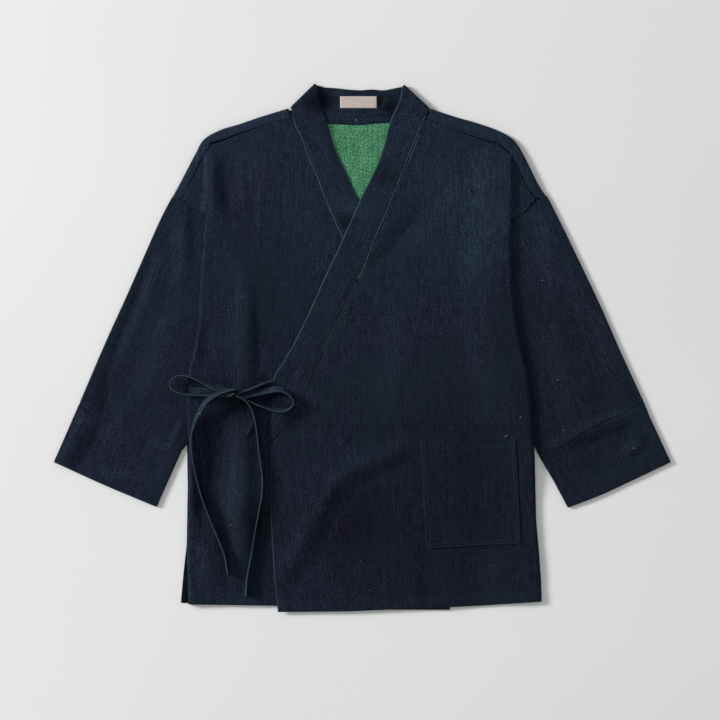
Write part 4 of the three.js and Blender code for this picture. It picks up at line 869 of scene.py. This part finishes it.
def flat_tube(side, start, end, outer, inner, folds, columns, rows, seed):
    """Rings between four edges: a folded front wall, a half circle at each edge and a flat back wall."""
    plan = lambda u, v: patch_between(start, end, outer, inner, u, v)
    v = np.linspace(0, 1, rows + 1)[:, None]
    roll = (SLEEVE_HEIGHT - CLOTH) / 2
    width = np.linalg.norm(plan(np.zeros_like(v), v) - plan(np.ones_like(v), v), axis=2)
    inset = SLEEVE_HEIGHT / 2 / width
    share = spaced(columns + 1, 0.6)[None, :]
    turn = np.radians(np.linspace(75, -75, 9))[None, :]
    wall_u = inset + (1 - 2 * inset) * share
    front = plan(wall_u, v + 0 * share)
    near_edge = np.minimum(wall_u, 1 - wall_u) * width
    fade = eased(0, 16, near_edge)
    relief = folded(folds, front[..., 0], front[..., 1])
    relief = relief + rippled(front[..., 0], front[..., 1], seed, 55, 0.8)
    front_z = SLEEVE_HEIGHT - CLOTH / 2 + fade * np.maximum(-1.3, relief)
    inner_u = 1 - inset + roll * np.cos(turn) / width
    outer_u = inset - roll * np.cos(turn[:, ::-1]) / width
    turn_z = SLEEVE_HEIGHT / 2 + roll * np.sin(turn) + 0 * v
    parts = [
        (wall_u, front_z), (inner_u, turn_z), (wall_u[:, ::-1], np.full_like(front_z, CLOTH / 2)),
        (outer_u, turn_z[:, ::-1]),
    ]
    rings = [np.concatenate([plan(u, v + 0 * u), z[..., None]], axis=2) for u, z in parts]
    middle = np.concatenate(rings, axis=1)
    return middle[::-1] if side < 0 else middle


def along_axis(middle, start, end):
    """Cloth coordinates of a flat tube: across and along the line from one point to another."""
    axis = unit(np.array(end, float) - np.array(start, float))
    cross = np.array([-axis[1], axis[0]])
    flat = middle[..., :2] - np.array(start)
    return np.stack([flat @ cross, flat @ axis], axis=-1)


# Name, node and side, the four edges and their folds, columns and rows, seed, the grain's line, the shift
# of the first edge, whether it is a sleeve, and the flat cut in metres
TUBES = [
    ("sleeve_right", "right_sleeve", -1, RIGHT_ARMHOLE, RIGHT_CUFF_SEAM, RIGHT_SLEEVE_FOLD,
     RIGHT_UNDERARM, RIGHT_SLEEVE_FOLDS, 90, 90, 31, (-250, 120), (-345, -115), (2, 5.6), True,
     (0.40, 0.32)),
    ("sleeve_left", "left_sleeve", 1, LEFT_ARMHOLE, LEFT_CUFF_SEAM, LEFT_SLEEVE_FOLD,
     LEFT_UNDERARM, LEFT_SLEEVE_FOLDS, 90, 90, 32, (250, 120), (340, -115), (-2, 5.6), True,
     (0.40, 0.32)),
    ("cuff_right", "right_cuff", -1, RIGHT_CUFF_SEAM, RIGHT_CUFF_HEM, RIGHT_CUFF_OUTER,
     RIGHT_CUFF_INNER, RIGHT_SLEEVE_FOLDS, 80, 44, 31, (-250, 120), (-345, -115), (0, 0), False,
     (0.34, 0.09)),
    ("cuff_left", "left_cuff", 1, LEFT_CUFF_SEAM, LEFT_CUFF_HEM, LEFT_CUFF_OUTER,
     LEFT_CUFF_INNER, LEFT_SLEEVE_FOLDS, 80, 44, 32, (250, 120), (340, -115), (0, 0), False,
     (0.34, 0.09)),
]
# Share of the cloth's thickness left at the groove of each cuff's seam, by side
SEAM_GROOVE = {-1: 0.12, 1: 0.8}
SEAM_RADIUS = 0.15
CUFF_HEM_RADIUS = 0.8
CUFF_TURNING = 10
SLEEVE_END_ROW = 3.0
CUFF_SEAM_ROW = 2.4
CUFF_HEM_ROW = 12.0
cuff_runs = []
for (name, node, side, start, end, outer, inner, folds, columns, rows, seed, top, bottom, shift,
     sleeve, cut) in TUBES:
    start = [(x + shift[0], y + shift[1]) for x, y in (start[::-1] if sleeve else start)]
    middle = flat_tube(
        side, line_through(start, True), line_through(end, True),
        line_through([start[0], *outer[1:]], sleeve), line_through([start[-1], *inner[1:]], False),
        folds, columns, rows, seed,
    )
    _, _, from_first, from_last = edge_distance(middle)
    edge = np.minimum(from_first, from_last)
    far, hem = (from_last, from_first) if side < 0 else (from_first, from_last)
    seam_radius = SEAM_RADIUS if sleeve else np.where(hem < edge + 0.01, CUFF_HEM_RADIUS, SEAM_RADIUS)
    at_cuff_seam = (hem if sleeve else far) < 1
    thick = CLOTH * np.maximum(rounded_edge(edge, seam_radius), SEAM_GROOVE[side] * at_cuff_seam)
    turned = 0.0 if sleeve else 1 - eased(CUFF_TURNING - 1, CUFF_TURNING + 1, hem)
    thick = thick * (1 + 0.3 * turned)
    wear = 0.3 * np.exp(-((hem / 1.1) ** 2)) * (0.0 if sleeve else 1.0)
    # On the upper wall the fade mark follows the folds: painted shade in troughs, painted light on ridges.
    upper = middle[..., 2] > SLEEVE_HEIGHT / 2
    fade = folded(folds, middle[..., 0], middle[..., 1]) / 2.4 * upper
    piece = cloth_wall(
        name, middle, thick, along_axis(middle, top, bottom), wear, [navy_finish, green_finish], fade,
        around=True,
    )
    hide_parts(node)
    face = outer_face(middle, thick)[:, :columns + 1]
    sewn_rows = [(hem, SLEEVE_END_ROW)] if sleeve else [(far, CUFF_SEAM_ROW), (hem, CUFF_HEM_ROW)]
    cuff_runs += [line_at(face, distance[:, :columns + 1], at) for distance, at in sewn_rows]

# The two fronts.
# The right front lies below and the left front wraps over it. Each folds round at the side onto its
# sleeve, ends in a turned hem, and runs up into the collar band's seam.
RIGHT_FOLD = [
    (-252, -372), (-254, -288), (-251, -221), (-250, -163), (-251, -140), (-254, -79), (-252, -35),
    (-244, -5), (-238, 31), (-235, 87), (-230, 159), (-227, 193), (-225, 238), (-224, 284),
]
LEFT_FOLD = [
    (260, -368), (259, -337), (256, -296), (252, -250), (250, -161), (245, -89), (240, -35),
    (231, -2), (223, 41), (219, 74), (216, 140), (214, 184), (214, 243), (213, 281),
]
RIGHT_LOBE_HEM = [(-227, 193), (-243, 203), (-260, 216)]
LEFT_LOBE_HEM = [(214, 184), (236, 197), (252, 217)]
UNDER_HEM = [(-252, -372), (-122, -374), (26, -380), (127, -380)]
OVER_HEM = [(-122, -383), (-18, -382), (75, -378), (171, -374), (260, -368)]
UNDER_FRONT_EDGE = [(127, -380), (126, -260), (122, -139)]
OVER_FRONT_EDGE = [(-122, -383), (-128, -331), (-132, -259), (-134, -190), (-133.4, -143)]
# Collar band on each front: seam x and y, free x and y, level
UNDER_BAND = [
    (121.4, -134, 125, -130, 2.9), (104, -112, 125, -93, 2.9), (78, -62, 122, -46, 2.9),
    (43, 10, 88, 30, 2.9), (14, 69, 58, 92, 2.9), (-8, 113, 28, 141, 2.9), (-27, 154, 8, 190, 2.9),
    (-49, 202, -10, 225, 2.9), (-64, 241, -23, 254, 3.0), (-77, 270, -35, 278, 3.3),
    (-88, 301, -45, 303, 4.2), (-97, 320, -50, 323, 5.4), (-102, 335, -59, 345, 6.4),
]
OVER_BAND = [
    (93, 335, 55, 360, 7.0), (86, 322, 48, 344, 7.2), (79, 306, 40, 326, 7.2), (70, 282, 33, 298, 7.0),
    (60, 256, 24, 270, 6.8), (48, 225, 12, 244, 6.7), (35, 193, -1, 219, 6.7), (19, 157, -19, 178, 6.6),
    (5, 120, -37, 138, 6.4), (-11, 85, -55, 100, 6.2), (-30, 45, -77, 51, 6.2), (-49, 9, -97, 10, 6.2),
    (-66, -26, -114, -20, 6.2), (-81, -60, -128.5, -46, 6.2), (-105, -104, -131, -93, 6.2),
    (-128.2, -134.6, -132, -130, 6.2),
]
SEAM_CLEARANCE = -1.0
LOBE_LEVEL = 4.9
SIDE_RADIUS = 6
CORNER_SHARE = 7 / 24
FRONT_TURNING = 16.5
NO_EDGE = 99


def split_share(t, corner_at, corner_share):
    """Even steps up to a corner and even steps beyond it, so that a row ends on the corner."""
    low = t / corner_at * corner_share
    high = corner_share + (t - corner_at) / (1 - corner_at) * (1 - corner_share)
    return np.where(t <= corner_at, low, high)


def share_at(rows, count):
    """Share of a line's length at which its row number count is reached."""
    step = np.linalg.norm(np.diff(np.array(rows, float), axis=0), axis=1)
    return step[:count].sum() / step.sum()


def inner_edge(side, front_edge, band, neck_end):
    """A front's edge, then the band's seam held a little clear of it, up to the neck."""
    band = np.array(band, float)
    away = unit(band[:, :2] - band[:, 2:4])
    seam = band[:, :2] + SEAM_CLEARANCE * away
    upward = seam if side < 0 else seam[::-1]
    return [*front_edge, *upward[1:-1].tolist(), neck_end]


def front_panel(side, fold, edge_rows, edge_count, hem, seam, lobe_hem, lobe_seam, height):
    """Main patch from side fold to front edge, and lobe columns beyond the fold that drop to the sleeve.
    Below them the side turns down: z - (z - rest)(1 - sqrt(1 - (1 - d/R)^2)) at distance d from it."""
    columns, rows, lobe_columns = 130, 192, 9
    lobe_at, corner_at = 0.75, CORNER_SHARE
    first_lobe_row = int(rows * lobe_at)
    start = [y for _, y in fold].index(lobe_hem[0][1])
    fold_line, edge_line = line_through(fold, False), line_through(edge_rows, False)
    fold_share, corner_share = share_at(fold, start), share_at(edge_rows, edge_count - 1)
    at_fold = lambda t: fold_line(split_share(t, lobe_at, fold_share))
    at_edge = lambda t: edge_line(split_share(t, corner_at, corner_share))
    near, far = (at_fold, at_edge) if side < 0 else (at_edge, at_fold)
    low, high = line_through(hem, False), line_through(seam, False)
    u, v = np.meshgrid(spaced(columns + 1, 0.55), np.linspace(0, 1, rows + 1))
    body = patch_between(low, high, near, far, u if side < 0 else 1 - u, v)
    body_z = height(body[..., 0], body[..., 1])
    inward = np.clip(np.abs(body[..., 0] - body[:, :1, 0]) / SIDE_RADIUS, 0, 1)
    curl = 1 - np.sqrt(1 - (1 - inward) ** 2)
    curl = curl * (1 - eased(first_lobe_row - 8, first_lobe_row, np.arange(rows + 1)))[:, None]
    side_rest = 1.9 + 3.5 * eased(-175, -140, body[..., 1])
    body_z = body_z - curl * np.maximum(0, body_z - side_rest)
    seam_up = lobe_seam[::-1]
    top, seam_top = fold[-1], (seam_up[-1][0] + 3 * side, seam_up[-1][1] - 4)
    lobe = lambda s, t: patch_between(
        line_through(lobe_hem, False), line_through([top, seam_top], False),
        line_through(fold[start:], False), line_through([*seam_up[:-1], seam_top], False), s, t,
    )
    low_y, top_y = fold[start][1], body[-1, 0, 1]
    share = np.clip((body[:, 0, 1] - low_y) / (top_y - low_y), 0, 1)
    s, t = np.meshgrid(np.arange(lobe_columns, 0, -1) / lobe_columns, share)
    beyond = lobe(s, t)
    drop = eased(0, 6, np.abs(beyond[..., 0] - body[:, :1, 0]))
    top_z = height(body[:, :1, 0] + 0 * beyond[..., 0], beyond[..., 1])
    beyond_z = top_z + drop * (LOBE_LEVEL - top_z) * (1 - eased(0.88, 1, t))
    plan = np.concatenate([beyond, body], axis=1)
    z = np.concatenate([beyond_z, body_z], axis=1)
    middle = np.concatenate([plan, z[..., None]], axis=2)
    kept = np.ones((rows, columns + lobe_columns), bool)
    kept[:first_lobe_row, :lobe_columns] = False
    return middle, kept, lobe_columns, first_lobe_row


# Name, node and side, the lines round the panel, its height, and its flat cut in metres with its area
FRONTS = [
    ("front_right", "right_front", -1, RIGHT_FOLD,
     inner_edge(-1, UNDER_FRONT_EDGE, UNDER_BAND, RIGHT_SHOULDER_SEAM[-1]), len(UNDER_FRONT_EDGE),
     UNDER_HEM, RIGHT_SHOULDER_SEAM, RIGHT_LOBE_HEM, RIGHT_LOBE_SEAM, under_front_height,
     (0.42, 0.735), 0.22),
    ("front_left", "left_front", 1, LEFT_FOLD,
     inner_edge(1, OVER_FRONT_EDGE, OVER_BAND, LEFT_SHOULDER_SEAM[0]), len(OVER_FRONT_EDGE),
     OVER_HEM, LEFT_SHOULDER_SEAM, LEFT_LOBE_HEM, LEFT_LOBE_SEAM, over_front_height,
     (0.43, 0.735), 0.23),
]
front_runs = []
collar_runs = []
for (name, node, side, fold, edge_rows, edge_count, hem, seam, lobe_hem, lobe_seam, height, cut,
     area) in FRONTS:
    middle, kept, lobe_columns, first_lobe_row = front_panel(
        side, fold, edge_rows, edge_count, hem, seam, lobe_hem, lobe_seam, height,
    )
    from_fold, from_edge, from_hem, _ = edge_distance(middle, lobe_columns)
    side_edge = np.abs(from_fold)
    side_edge[first_lobe_row + 1:] = NO_EDGE
    lobe_rim, _, _, _ = edge_distance(middle)
    lobe_rim[:first_lobe_row] = NO_EDGE
    edge = np.minimum(np.minimum(from_edge, from_hem), side_edge)
    turned = 1 - eased(FRONT_TURNING - 1, FRONT_TURNING + 1, from_hem)
    thick = CLOTH * rounded_edge(edge, 0.9) * rounded_edge(lobe_rim, 0.3) * (1 + 0.35 * turned)
    middle[..., 2] += 0.25 * turned * eased(0, 1.5, edge)
    low_edge = 0.15 + 0.85 * eased(-150, -215, middle[..., 1])
    wear = 0.55 * low_edge * np.exp(-((from_edge / 1.1) ** 2))
    wear = wear * (1 - 0.6 * eased(-250, -190, middle[..., 1]))
    wear = np.maximum(wear, 0.15 * np.exp(-((from_hem / 1.0) ** 2)))
    # Along the right front's side edge below the waist, the edge facing the lamp, the worn colour paints
    # a highlight.
    low_side = (middle[..., 1] < -60) * (side < 0)
    wear = np.maximum(wear, 0.42 * np.exp(-((side_edge / 1.2) ** 2)) * low_side)
    body = slice(lobe_columns, None)
    face = middle + np.array([0, 0, 1]) * thick[..., None] / 2
    above = slice(int(len(middle) * CORNER_SHARE) + 1, len(middle) - 6)
    front_runs.append(line_at(face[:, body], from_hem[:, body], FRONT_TURNING - 1.5))
    at_edge = line_at(face.swapaxes(0, 1)[::-1], from_edge.T[::-1], 2.3 - SEAM_CLEARANCE)
    if side > 0:
        collar_runs.append(at_edge[above])
    at_side = line_at(face[:, body].swapaxes(0, 1), np.abs(from_fold[:, body]).T, 2.2)
    front_runs.append(at_side[4:int(len(middle) * 0.42)])
    if side > 0:
        middle, kept, thick, wear = middle[:, ::-1], kept[:, ::-1], thick[:, ::-1], wear[:, ::-1]
    # The fade mark follows the folds, painted shade in the troughs and painted light on the ridges, and
    # is lighter on the turned hems.
    fade = folded(UNDER_FOLDS if side < 0 else OVER_FOLDS, middle[..., 0], middle[..., 1]) / 3.4
    fade = fade + 0.25 * (turned[:, ::-1] if side > 0 else turned)
    piece = cloth_wall(
        name, middle, thick, middle[..., :2] + 40 * side, wear, [navy_finish, green_finish], fade,
        kept=kept,
    )
    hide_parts(node)

# Collar band.
# One straight strip of twill, folded double along its free edge, sewn round the neck and down both
# fronts. It turns over the sides of the neck and lies flat.
# Seam x and y, free x and y, and the way out of each roll
RIGHT_COLLAR_FOLD = (-102, 345, -66, 380, -0.7, 0.7)
LEFT_COLLAR_FOLD = (96, 343, 58, 378, 0.7, 0.7)
# Columns from one row of a table to the next, and round each roll
FRONT_STEPS = 9
NECK_STEPS = 8
ROLL_STEPS = 12
NECK_ROWS = (3.0, 8.0, 15.0)


def collar_roll(fold, start_z, end_z, steps):
    """Half turn of the band over the side of the neck: a half circle from one level to the other."""
    seam_x, seam_y, free_x, free_y, out_x, out_y = fold
    radius, level = abs(start_z - end_z) / 2, (start_z + end_z) / 2
    angle = math.pi * (0.5 - np.arange(steps + 1) / steps)
    reach = radius * np.cos(angle)
    z = level + np.sign(start_z - end_z) * radius * np.sin(angle)
    return np.column_stack([
        seam_x + reach * out_x, seam_y + reach * out_y, free_x + reach * out_x, free_y + reach * out_y, z,
    ])


def collar_band():
    """Band between its seam line and its free line, all round: rows across it, columns along it."""
    stations = np.vstack([
        refined(UNDER_BAND, FRONT_STEPS), collar_roll(RIGHT_COLLAR_FOLD, 6.5, 1.3, ROLL_STEPS),
        refined(BACK_BAND, NECK_STEPS), collar_roll(LEFT_COLLAR_FOLD, 1.3, 7.1, ROLL_STEPS),
        refined(OVER_BAND, FRONT_STEPS),
    ])
    t = spaced(31, 0.9)[:, None]
    x = stations[:, 0] + t * (stations[:, 2] - stations[:, 0])
    y = stations[:, 1] + t * (stations[:, 3] - stations[:, 1])
    z = stations[:, 4] + 0 * t + 0.25 * np.sin(math.pi * t) + rippled(x, y, 41, 45, 0.3)
    return np.stack([x, y, z], axis=2)


middle = collar_band()
from_start, from_end, from_seam, from_free = edge_distance(middle)
edge = np.minimum(np.minimum(from_start, from_end), np.minimum(from_seam, from_free))
columns = middle.shape[1]
under_end = FRONT_STEPS * (len(UNDER_BAND) - 1)
over_start = columns - FRONT_STEPS * (len(OVER_BAND) - 1)
neck_start = FRONT_STEPS * len(UNDER_BAND) + ROLL_STEPS
neck_end = neck_start + NECK_STEPS * (len(BACK_BAND) - 1)
pressed = np.exp(-((from_free / 6) ** 2)) * (np.arange(columns) < under_end)
middle[..., 2] -= 0.7 * pressed
thick = BAND * rounded_edge(edge, 1.3) * (1 - 0.4 * np.exp(-((from_seam / 3.2) ** 2)))
thick = thick * (1 - 0.4 * pressed)
band_end = eased(-66, -50, middle[..., 1])
fresh_top = eased(290, 305, middle[..., 1]) * (1 - eased(28, 34, middle[..., 0]))
wear = 0.95 * band_end * (1 - fresh_top) * np.exp(-((from_free / 1.0) ** 2))
wear = wear + 0.1 * np.exp(-((from_seam / 0.9) ** 2))
run = np.concatenate([[0], np.cumsum(np.linalg.norm(np.diff(middle[15], axis=0), axis=1))])
place = np.stack([from_seam, np.broadcast_to(run, from_seam.shape)], axis=-1)
collar = cloth_wall("collar_band", middle, thick, place, np.minimum(1, wear), [navy_finish, navy_finish])
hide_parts("collar")
face = middle + np.array([0, 0, 1]) * thick[..., None] / 2
seam_row = line_at(face, from_seam, 1.2)
collar_runs += [seam_row[8:under_end], seam_row[over_start:-4]]
neck_runs = [line_at(face, from_seam, at)[neck_start:neck_end] for at in NECK_ROWS]

# Patch pocket.
# A square of twill on the left front, turned under on three sides and stitched twice, with a wider
# turned hem at its open top.
POCKET = [(84, -135), (222, -130), (230, -284), (92, -291)]
POCKET_HEM = 13
POCKET_TURNING = 8
POCKET_ROWS = (2.0, 6.0)


def corner_patch(corners, u, v):
    """Bilinear place between four corners, given from the top left clockwise."""
    top_left, top_right, low_right, low_left = (np.array(c, float) for c in corners)
    u, v = u[..., None], v[..., None]
    low = low_left + u * (low_right - low_left)
    high = top_left + u * (top_right - top_left)
    return low + v * (high - low)


u, v = np.meshgrid(spaced(91, 0.7), spaced(97, 0.7))
plan = corner_patch(POCKET, u, v)
gape = 0.7 * eased(0.72, 1.0, v) * np.sin(math.pi * np.clip(u, 0.0, 1.0)) ** 0.7
z = over_front_height(plan[..., 0], plan[..., 1]) + CLOTH + 0.25 + gape
middle = np.concatenate([plan, z[..., None]], axis=2)
from_left, from_right, from_low, from_top = edge_distance(middle)
sewn = np.minimum(np.minimum(from_left, from_right), from_low)
edge = np.minimum(sewn, from_top)
thick = CLOTH * rounded_edge(edge, 0.4)
thick = thick * (1 + 0.3 * (1 - eased(POCKET_HEM - 1, POCKET_HEM + 1, from_top)))
thick = thick * (1 + 0.22 * (1 - eased(POCKET_TURNING - 1, POCKET_TURNING + 1, sewn)))
wear = 0.05 * np.exp(-((edge / 0.8) ** 2))
pocket = cloth_wall("patch_pocket", middle, thick, plan + 310, wear, [navy_finish, green_finish])
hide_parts("pocket")
face = outer_face(middle, thick)
turned_face = face.swapaxes(0, 1)
pocket_runs = [line_at(face, from_low, at)[6:-6] for at in POCKET_ROWS]
pocket_runs += [line_at(turned_face, from_left.T, at)[4:] for at in POCKET_ROWS]
pocket_runs += [line_at(turned_face[::-1], from_right.T[::-1], at)[4:] for at in POCKET_ROWS]
pocket_runs.append(line_at(face[::-1], from_top[::-1], POCKET_HEM)[6:-6])

# Topstitching.
# Pale blue-green thread in rows of separate stitches, worked through the cloth beside the seams of the
# band and pocket, with navy thread along the hems and a thread of the cloth's own colour on the cuffs.
STITCH_LONG = 2.8
STITCH_PITCH = 3.1
PALE_ABOVE = 95
DULL_BELOW = -10
THREAD_RADIUS = 0.3
SHOULDER_ROW = 2.4


def stitches(name, runs, finish, radius=THREAD_RADIUS):
    """Rows of stitches along lines: each is a six-sided bead whose radius follows 0.7, 1, 1, 1, 0.7 and
    whose middle stands above the cloth while its ends go into it."""
    centres, aheads = [], []
    for run in runs:
        step = np.linalg.norm(np.diff(run, axis=0), axis=1)
        length = np.concatenate([[0], np.cumsum(step)])
        at = np.arange(STITCH_PITCH / 2, length[-1] - STITCH_PITCH / 2, STITCH_PITCH)
        ends = [
            np.stack([np.interp(at + half, length, run[:, k]) for k in range(3)], axis=1)
            for half in (-STITCH_LONG / 2, STITCH_LONG / 2)
        ]
        centres.append((ends[0] + ends[1]) / 2)
        aheads.append(unit(ends[1] - ends[0]))
    centre, ahead = np.vstack(centres), np.vstack(aheads)
    level = unit(np.stack([-ahead[:, 1], ahead[:, 0], 0 * ahead[:, 0]], axis=1))
    up = np.cross(ahead, level)
    along = np.array([-0.5, -0.32, 0.0, 0.32, 0.5]) * STITCH_LONG
    girth = np.array([0.7, 1.0, 1.0, 1.0, 0.7]) * radius
    rise = np.array([-0.3, 0.4, 0.6, 0.4, -0.3]) * radius
    sides = 6
    angle = 2 * math.pi * np.arange(sides) / sides
    ring = centre[:, None, None] + ahead[:, None, None] * along[None, :, None, None]
    ring = ring + up[:, None, None] * rise[None, :, None, None]
    ring = ring + level[:, None, None] * (girth[:, None] * np.cos(angle))[None, :, :, None]
    ring = ring + up[:, None, None] * (girth[:, None] * np.sin(angle))[None, :, :, None]
    first = (np.arange(len(centre)) * len(along) * sides)[:, None, None]
    k, i = np.meshgrid(np.arange(len(along) - 1), np.arange(sides), indexing="ij")
    a, b = k * sides + i, k * sides + (i + 1) % sides
    quads = first[..., None] + np.stack([a, b, b + sides, a + sides], axis=-1)[None]
    caps = np.stack([np.arange(sides)[::-1], (len(along) - 1) * sides + np.arange(sides)])
    faces = quads.reshape(-1, 4).tolist() + (first + caps[None]).reshape(-1, sides).tolist()
    piece = make_object(name, ring.reshape(-1, 3), faces, [finish])
    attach(piece, "root")


def thread_finish(name, dark, light):
    """Spun cotton thread, unevenly faded."""
    material, signal, shader = new_finish(name, 0.8, 0.15)
    solid = signal.add("ShaderNodeTexCoord", out=3)
    colour = signal.noise(solid, 260.0, 2.0).between(0.3, 0.7).mix(dark, light)
    signal.tree.links.new(colour.socket, shader.inputs["Base Color"])
    return material


pale_thread = thread_finish("pale_thread", (0.05, 0.10, 0.11), (0.12, 0.21, 0.21))
mid_thread = thread_finish("mid_thread", (0.032, 0.062, 0.070), (0.07, 0.125, 0.13))
dull_thread = thread_finish("dull_thread", (0.013, 0.028, 0.036), (0.028, 0.055, 0.064))
cloth_thread = thread_finish("cloth_thread", (0.010, 0.017, 0.030), (0.022, 0.033, 0.050))
navy_thread = thread_finish("navy_thread", (0.006, 0.011, 0.018), (0.017, 0.030, 0.043))
white_lint = thread_finish("white_lint", (0.20, 0.22, 0.23), (0.42, 0.44, 0.44))
shoulder_runs = []
for rows in (RIGHT_SHOULDER_SEAM, LEFT_SHOULDER_SEAM):
    line = line_through(rows, False)(np.linspace(0.02, 0.98, 90)) + np.array([0, SHOULDER_ROW])
    level = np.full((len(line), 1), BACK_LEVEL + 2 * SHOULDER_ROLL + CLOTH / 2 + 0.25)
    shoulder_runs.append(np.hstack([line, level]))
# Flecks of lint by what they lie on: left front, left sleeve, right front, right tail and pocket's corner
FLECKS = [
    (over_front_height, [(229, -101)]),
    (lambda x, y: SLEEVE_HEIGHT - CLOTH / 2 + folded(LEFT_SLEEVE_FOLDS, x, y),
     [(261, 97), (284, -47), (292, -120), (393, -146)]),
    (under_front_height, [(-189.5, -257)]),
    (lambda x, y: under_front_height(x, y) + 15.2, [(-233.7, -95.2)]),
    (lambda x, y: over_front_height(x, y) + 1.9, [(207, -128.6), (209.2, -127.9)]),
]
# A bent thread at the back of the neck, then the flecks
lint_runs = [np.array([(-9.9, 331.2, 2.9), (-8.6, 328.2, 3.2), (-5.6, 326.0, 2.9)])]
for height, places in FLECKS:
    for x, y in places:
        z = float(height(np.array(x), np.array(y))) + CLOTH / 2 + 0.2
        lint_runs.append(np.array([(x - 1.7, y, z), (x + 1.6, y + 0.9, z)]))
# The loose end of the band's thread, on the right front beside the left tail
loose_x, loose_y = np.linspace(-158.4, -167.7, 8), np.linspace(-107.4, -127.9, 8)
loose_end = np.stack([loose_x, loose_y, under_front_height(loose_x, loose_y) + CLOTH / 2 + 0.2], axis=1)
over_runs = [run for run in collar_runs if run[:, 1].min() < DULL_BELOW]
middle_runs = [run[(run[:, 1] >= DULL_BELOW) & (run[:, 1] < PALE_ABOVE)] for run in over_runs]
stitches("collar_stitches", [run[run[:, 1] >= PALE_ABOVE] for run in collar_runs], pale_thread)
stitches("band_middle_stitches", [*middle_runs, loose_end], mid_thread, 0.28)
stitches("band_end_stitches", [run[run[:, 1] < DULL_BELOW] for run in over_runs], dull_thread, 0.26)
stitches("pocket_stitches", [*pocket_runs, *neck_runs], dull_thread, 0.24)
stitches("front_stitches", [*front_runs, *shoulder_runs], navy_thread, 0.26)
stitches("cuff_stitches", cuff_runs, cloth_thread, 0.18)
stitches("lint", lint_runs, white_lint, 0.25)

# Neck label and size tab.
# A plain beige woven label folded under at its ends, and a small plain dark tab beside it, both sewn
# on the inside of the band at the back of the neck.
LABEL = (-32, 347, 53, 17)
SIZE_TAB = (21.5, 350, 6, 13)


def label_finish(name, dark, light, shine):
    """Woven label: fine crossing ribs across and along, as colour and as relief."""
    material, signal, shader = new_finish(name, 0.75, shine)
    solid = signal.add("ShaderNodeTexCoord", out=3)
    wave = signal.noise(solid, 2600.0, 1.0)
    cloud = signal.noise(solid, 240.0, 3.0)
    colour = (wave * 0.6 + cloud * 0.4).between(0.3, 0.7).mix(dark, light)
    normal = signal.add("ShaderNodeBump", None, {"Strength": 0.6, "Distance": 0.00012, "Height": wave})
    signal.tree.links.new(colour.socket, shader.inputs["Base Color"])
    signal.tree.links.new(normal.socket, shader.inputs["Normal"])
    return material


def neck_tab(name, node, rectangle, finish):
    """Flat woven tab on the band: a thin wall that dips at its sewn ends, by the root of a sine."""
    x0, y0, width, height = rectangle
    u, v = np.meshgrid(spaced(25, 0.6), spaced(13, 0.6))
    bow = 0.35 * np.sin(math.pi * u) ** 0.5
    middle = np.stack([x0 + u * width, y0 + v * height, BAND + 0.42 + bow], axis=2)
    from_left, from_right, from_low, from_top = edge_distance(middle)
    edge = np.minimum(np.minimum(from_left, from_right), np.minimum(from_low, from_top))
    piece = cloth_wall(name, middle, 0.6 * rounded_edge(edge, 0.4), middle[..., :2], 0.0, [finish, finish])
    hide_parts(node)


beige_finish = label_finish("beige_label_weave", (0.44, 0.37, 0.335), (0.62, 0.545, 0.50), 0.3)
dark_finish = label_finish("dark_tab_weave", (0.003, 0.003, 0.004), (0.010, 0.010, 0.012), 0.02)
neck_tab("woven_label", "neck_label", LABEL, beige_finish)
neck_tab("woven_size_tab", "size_tab", SIZE_TAB, dark_finish)
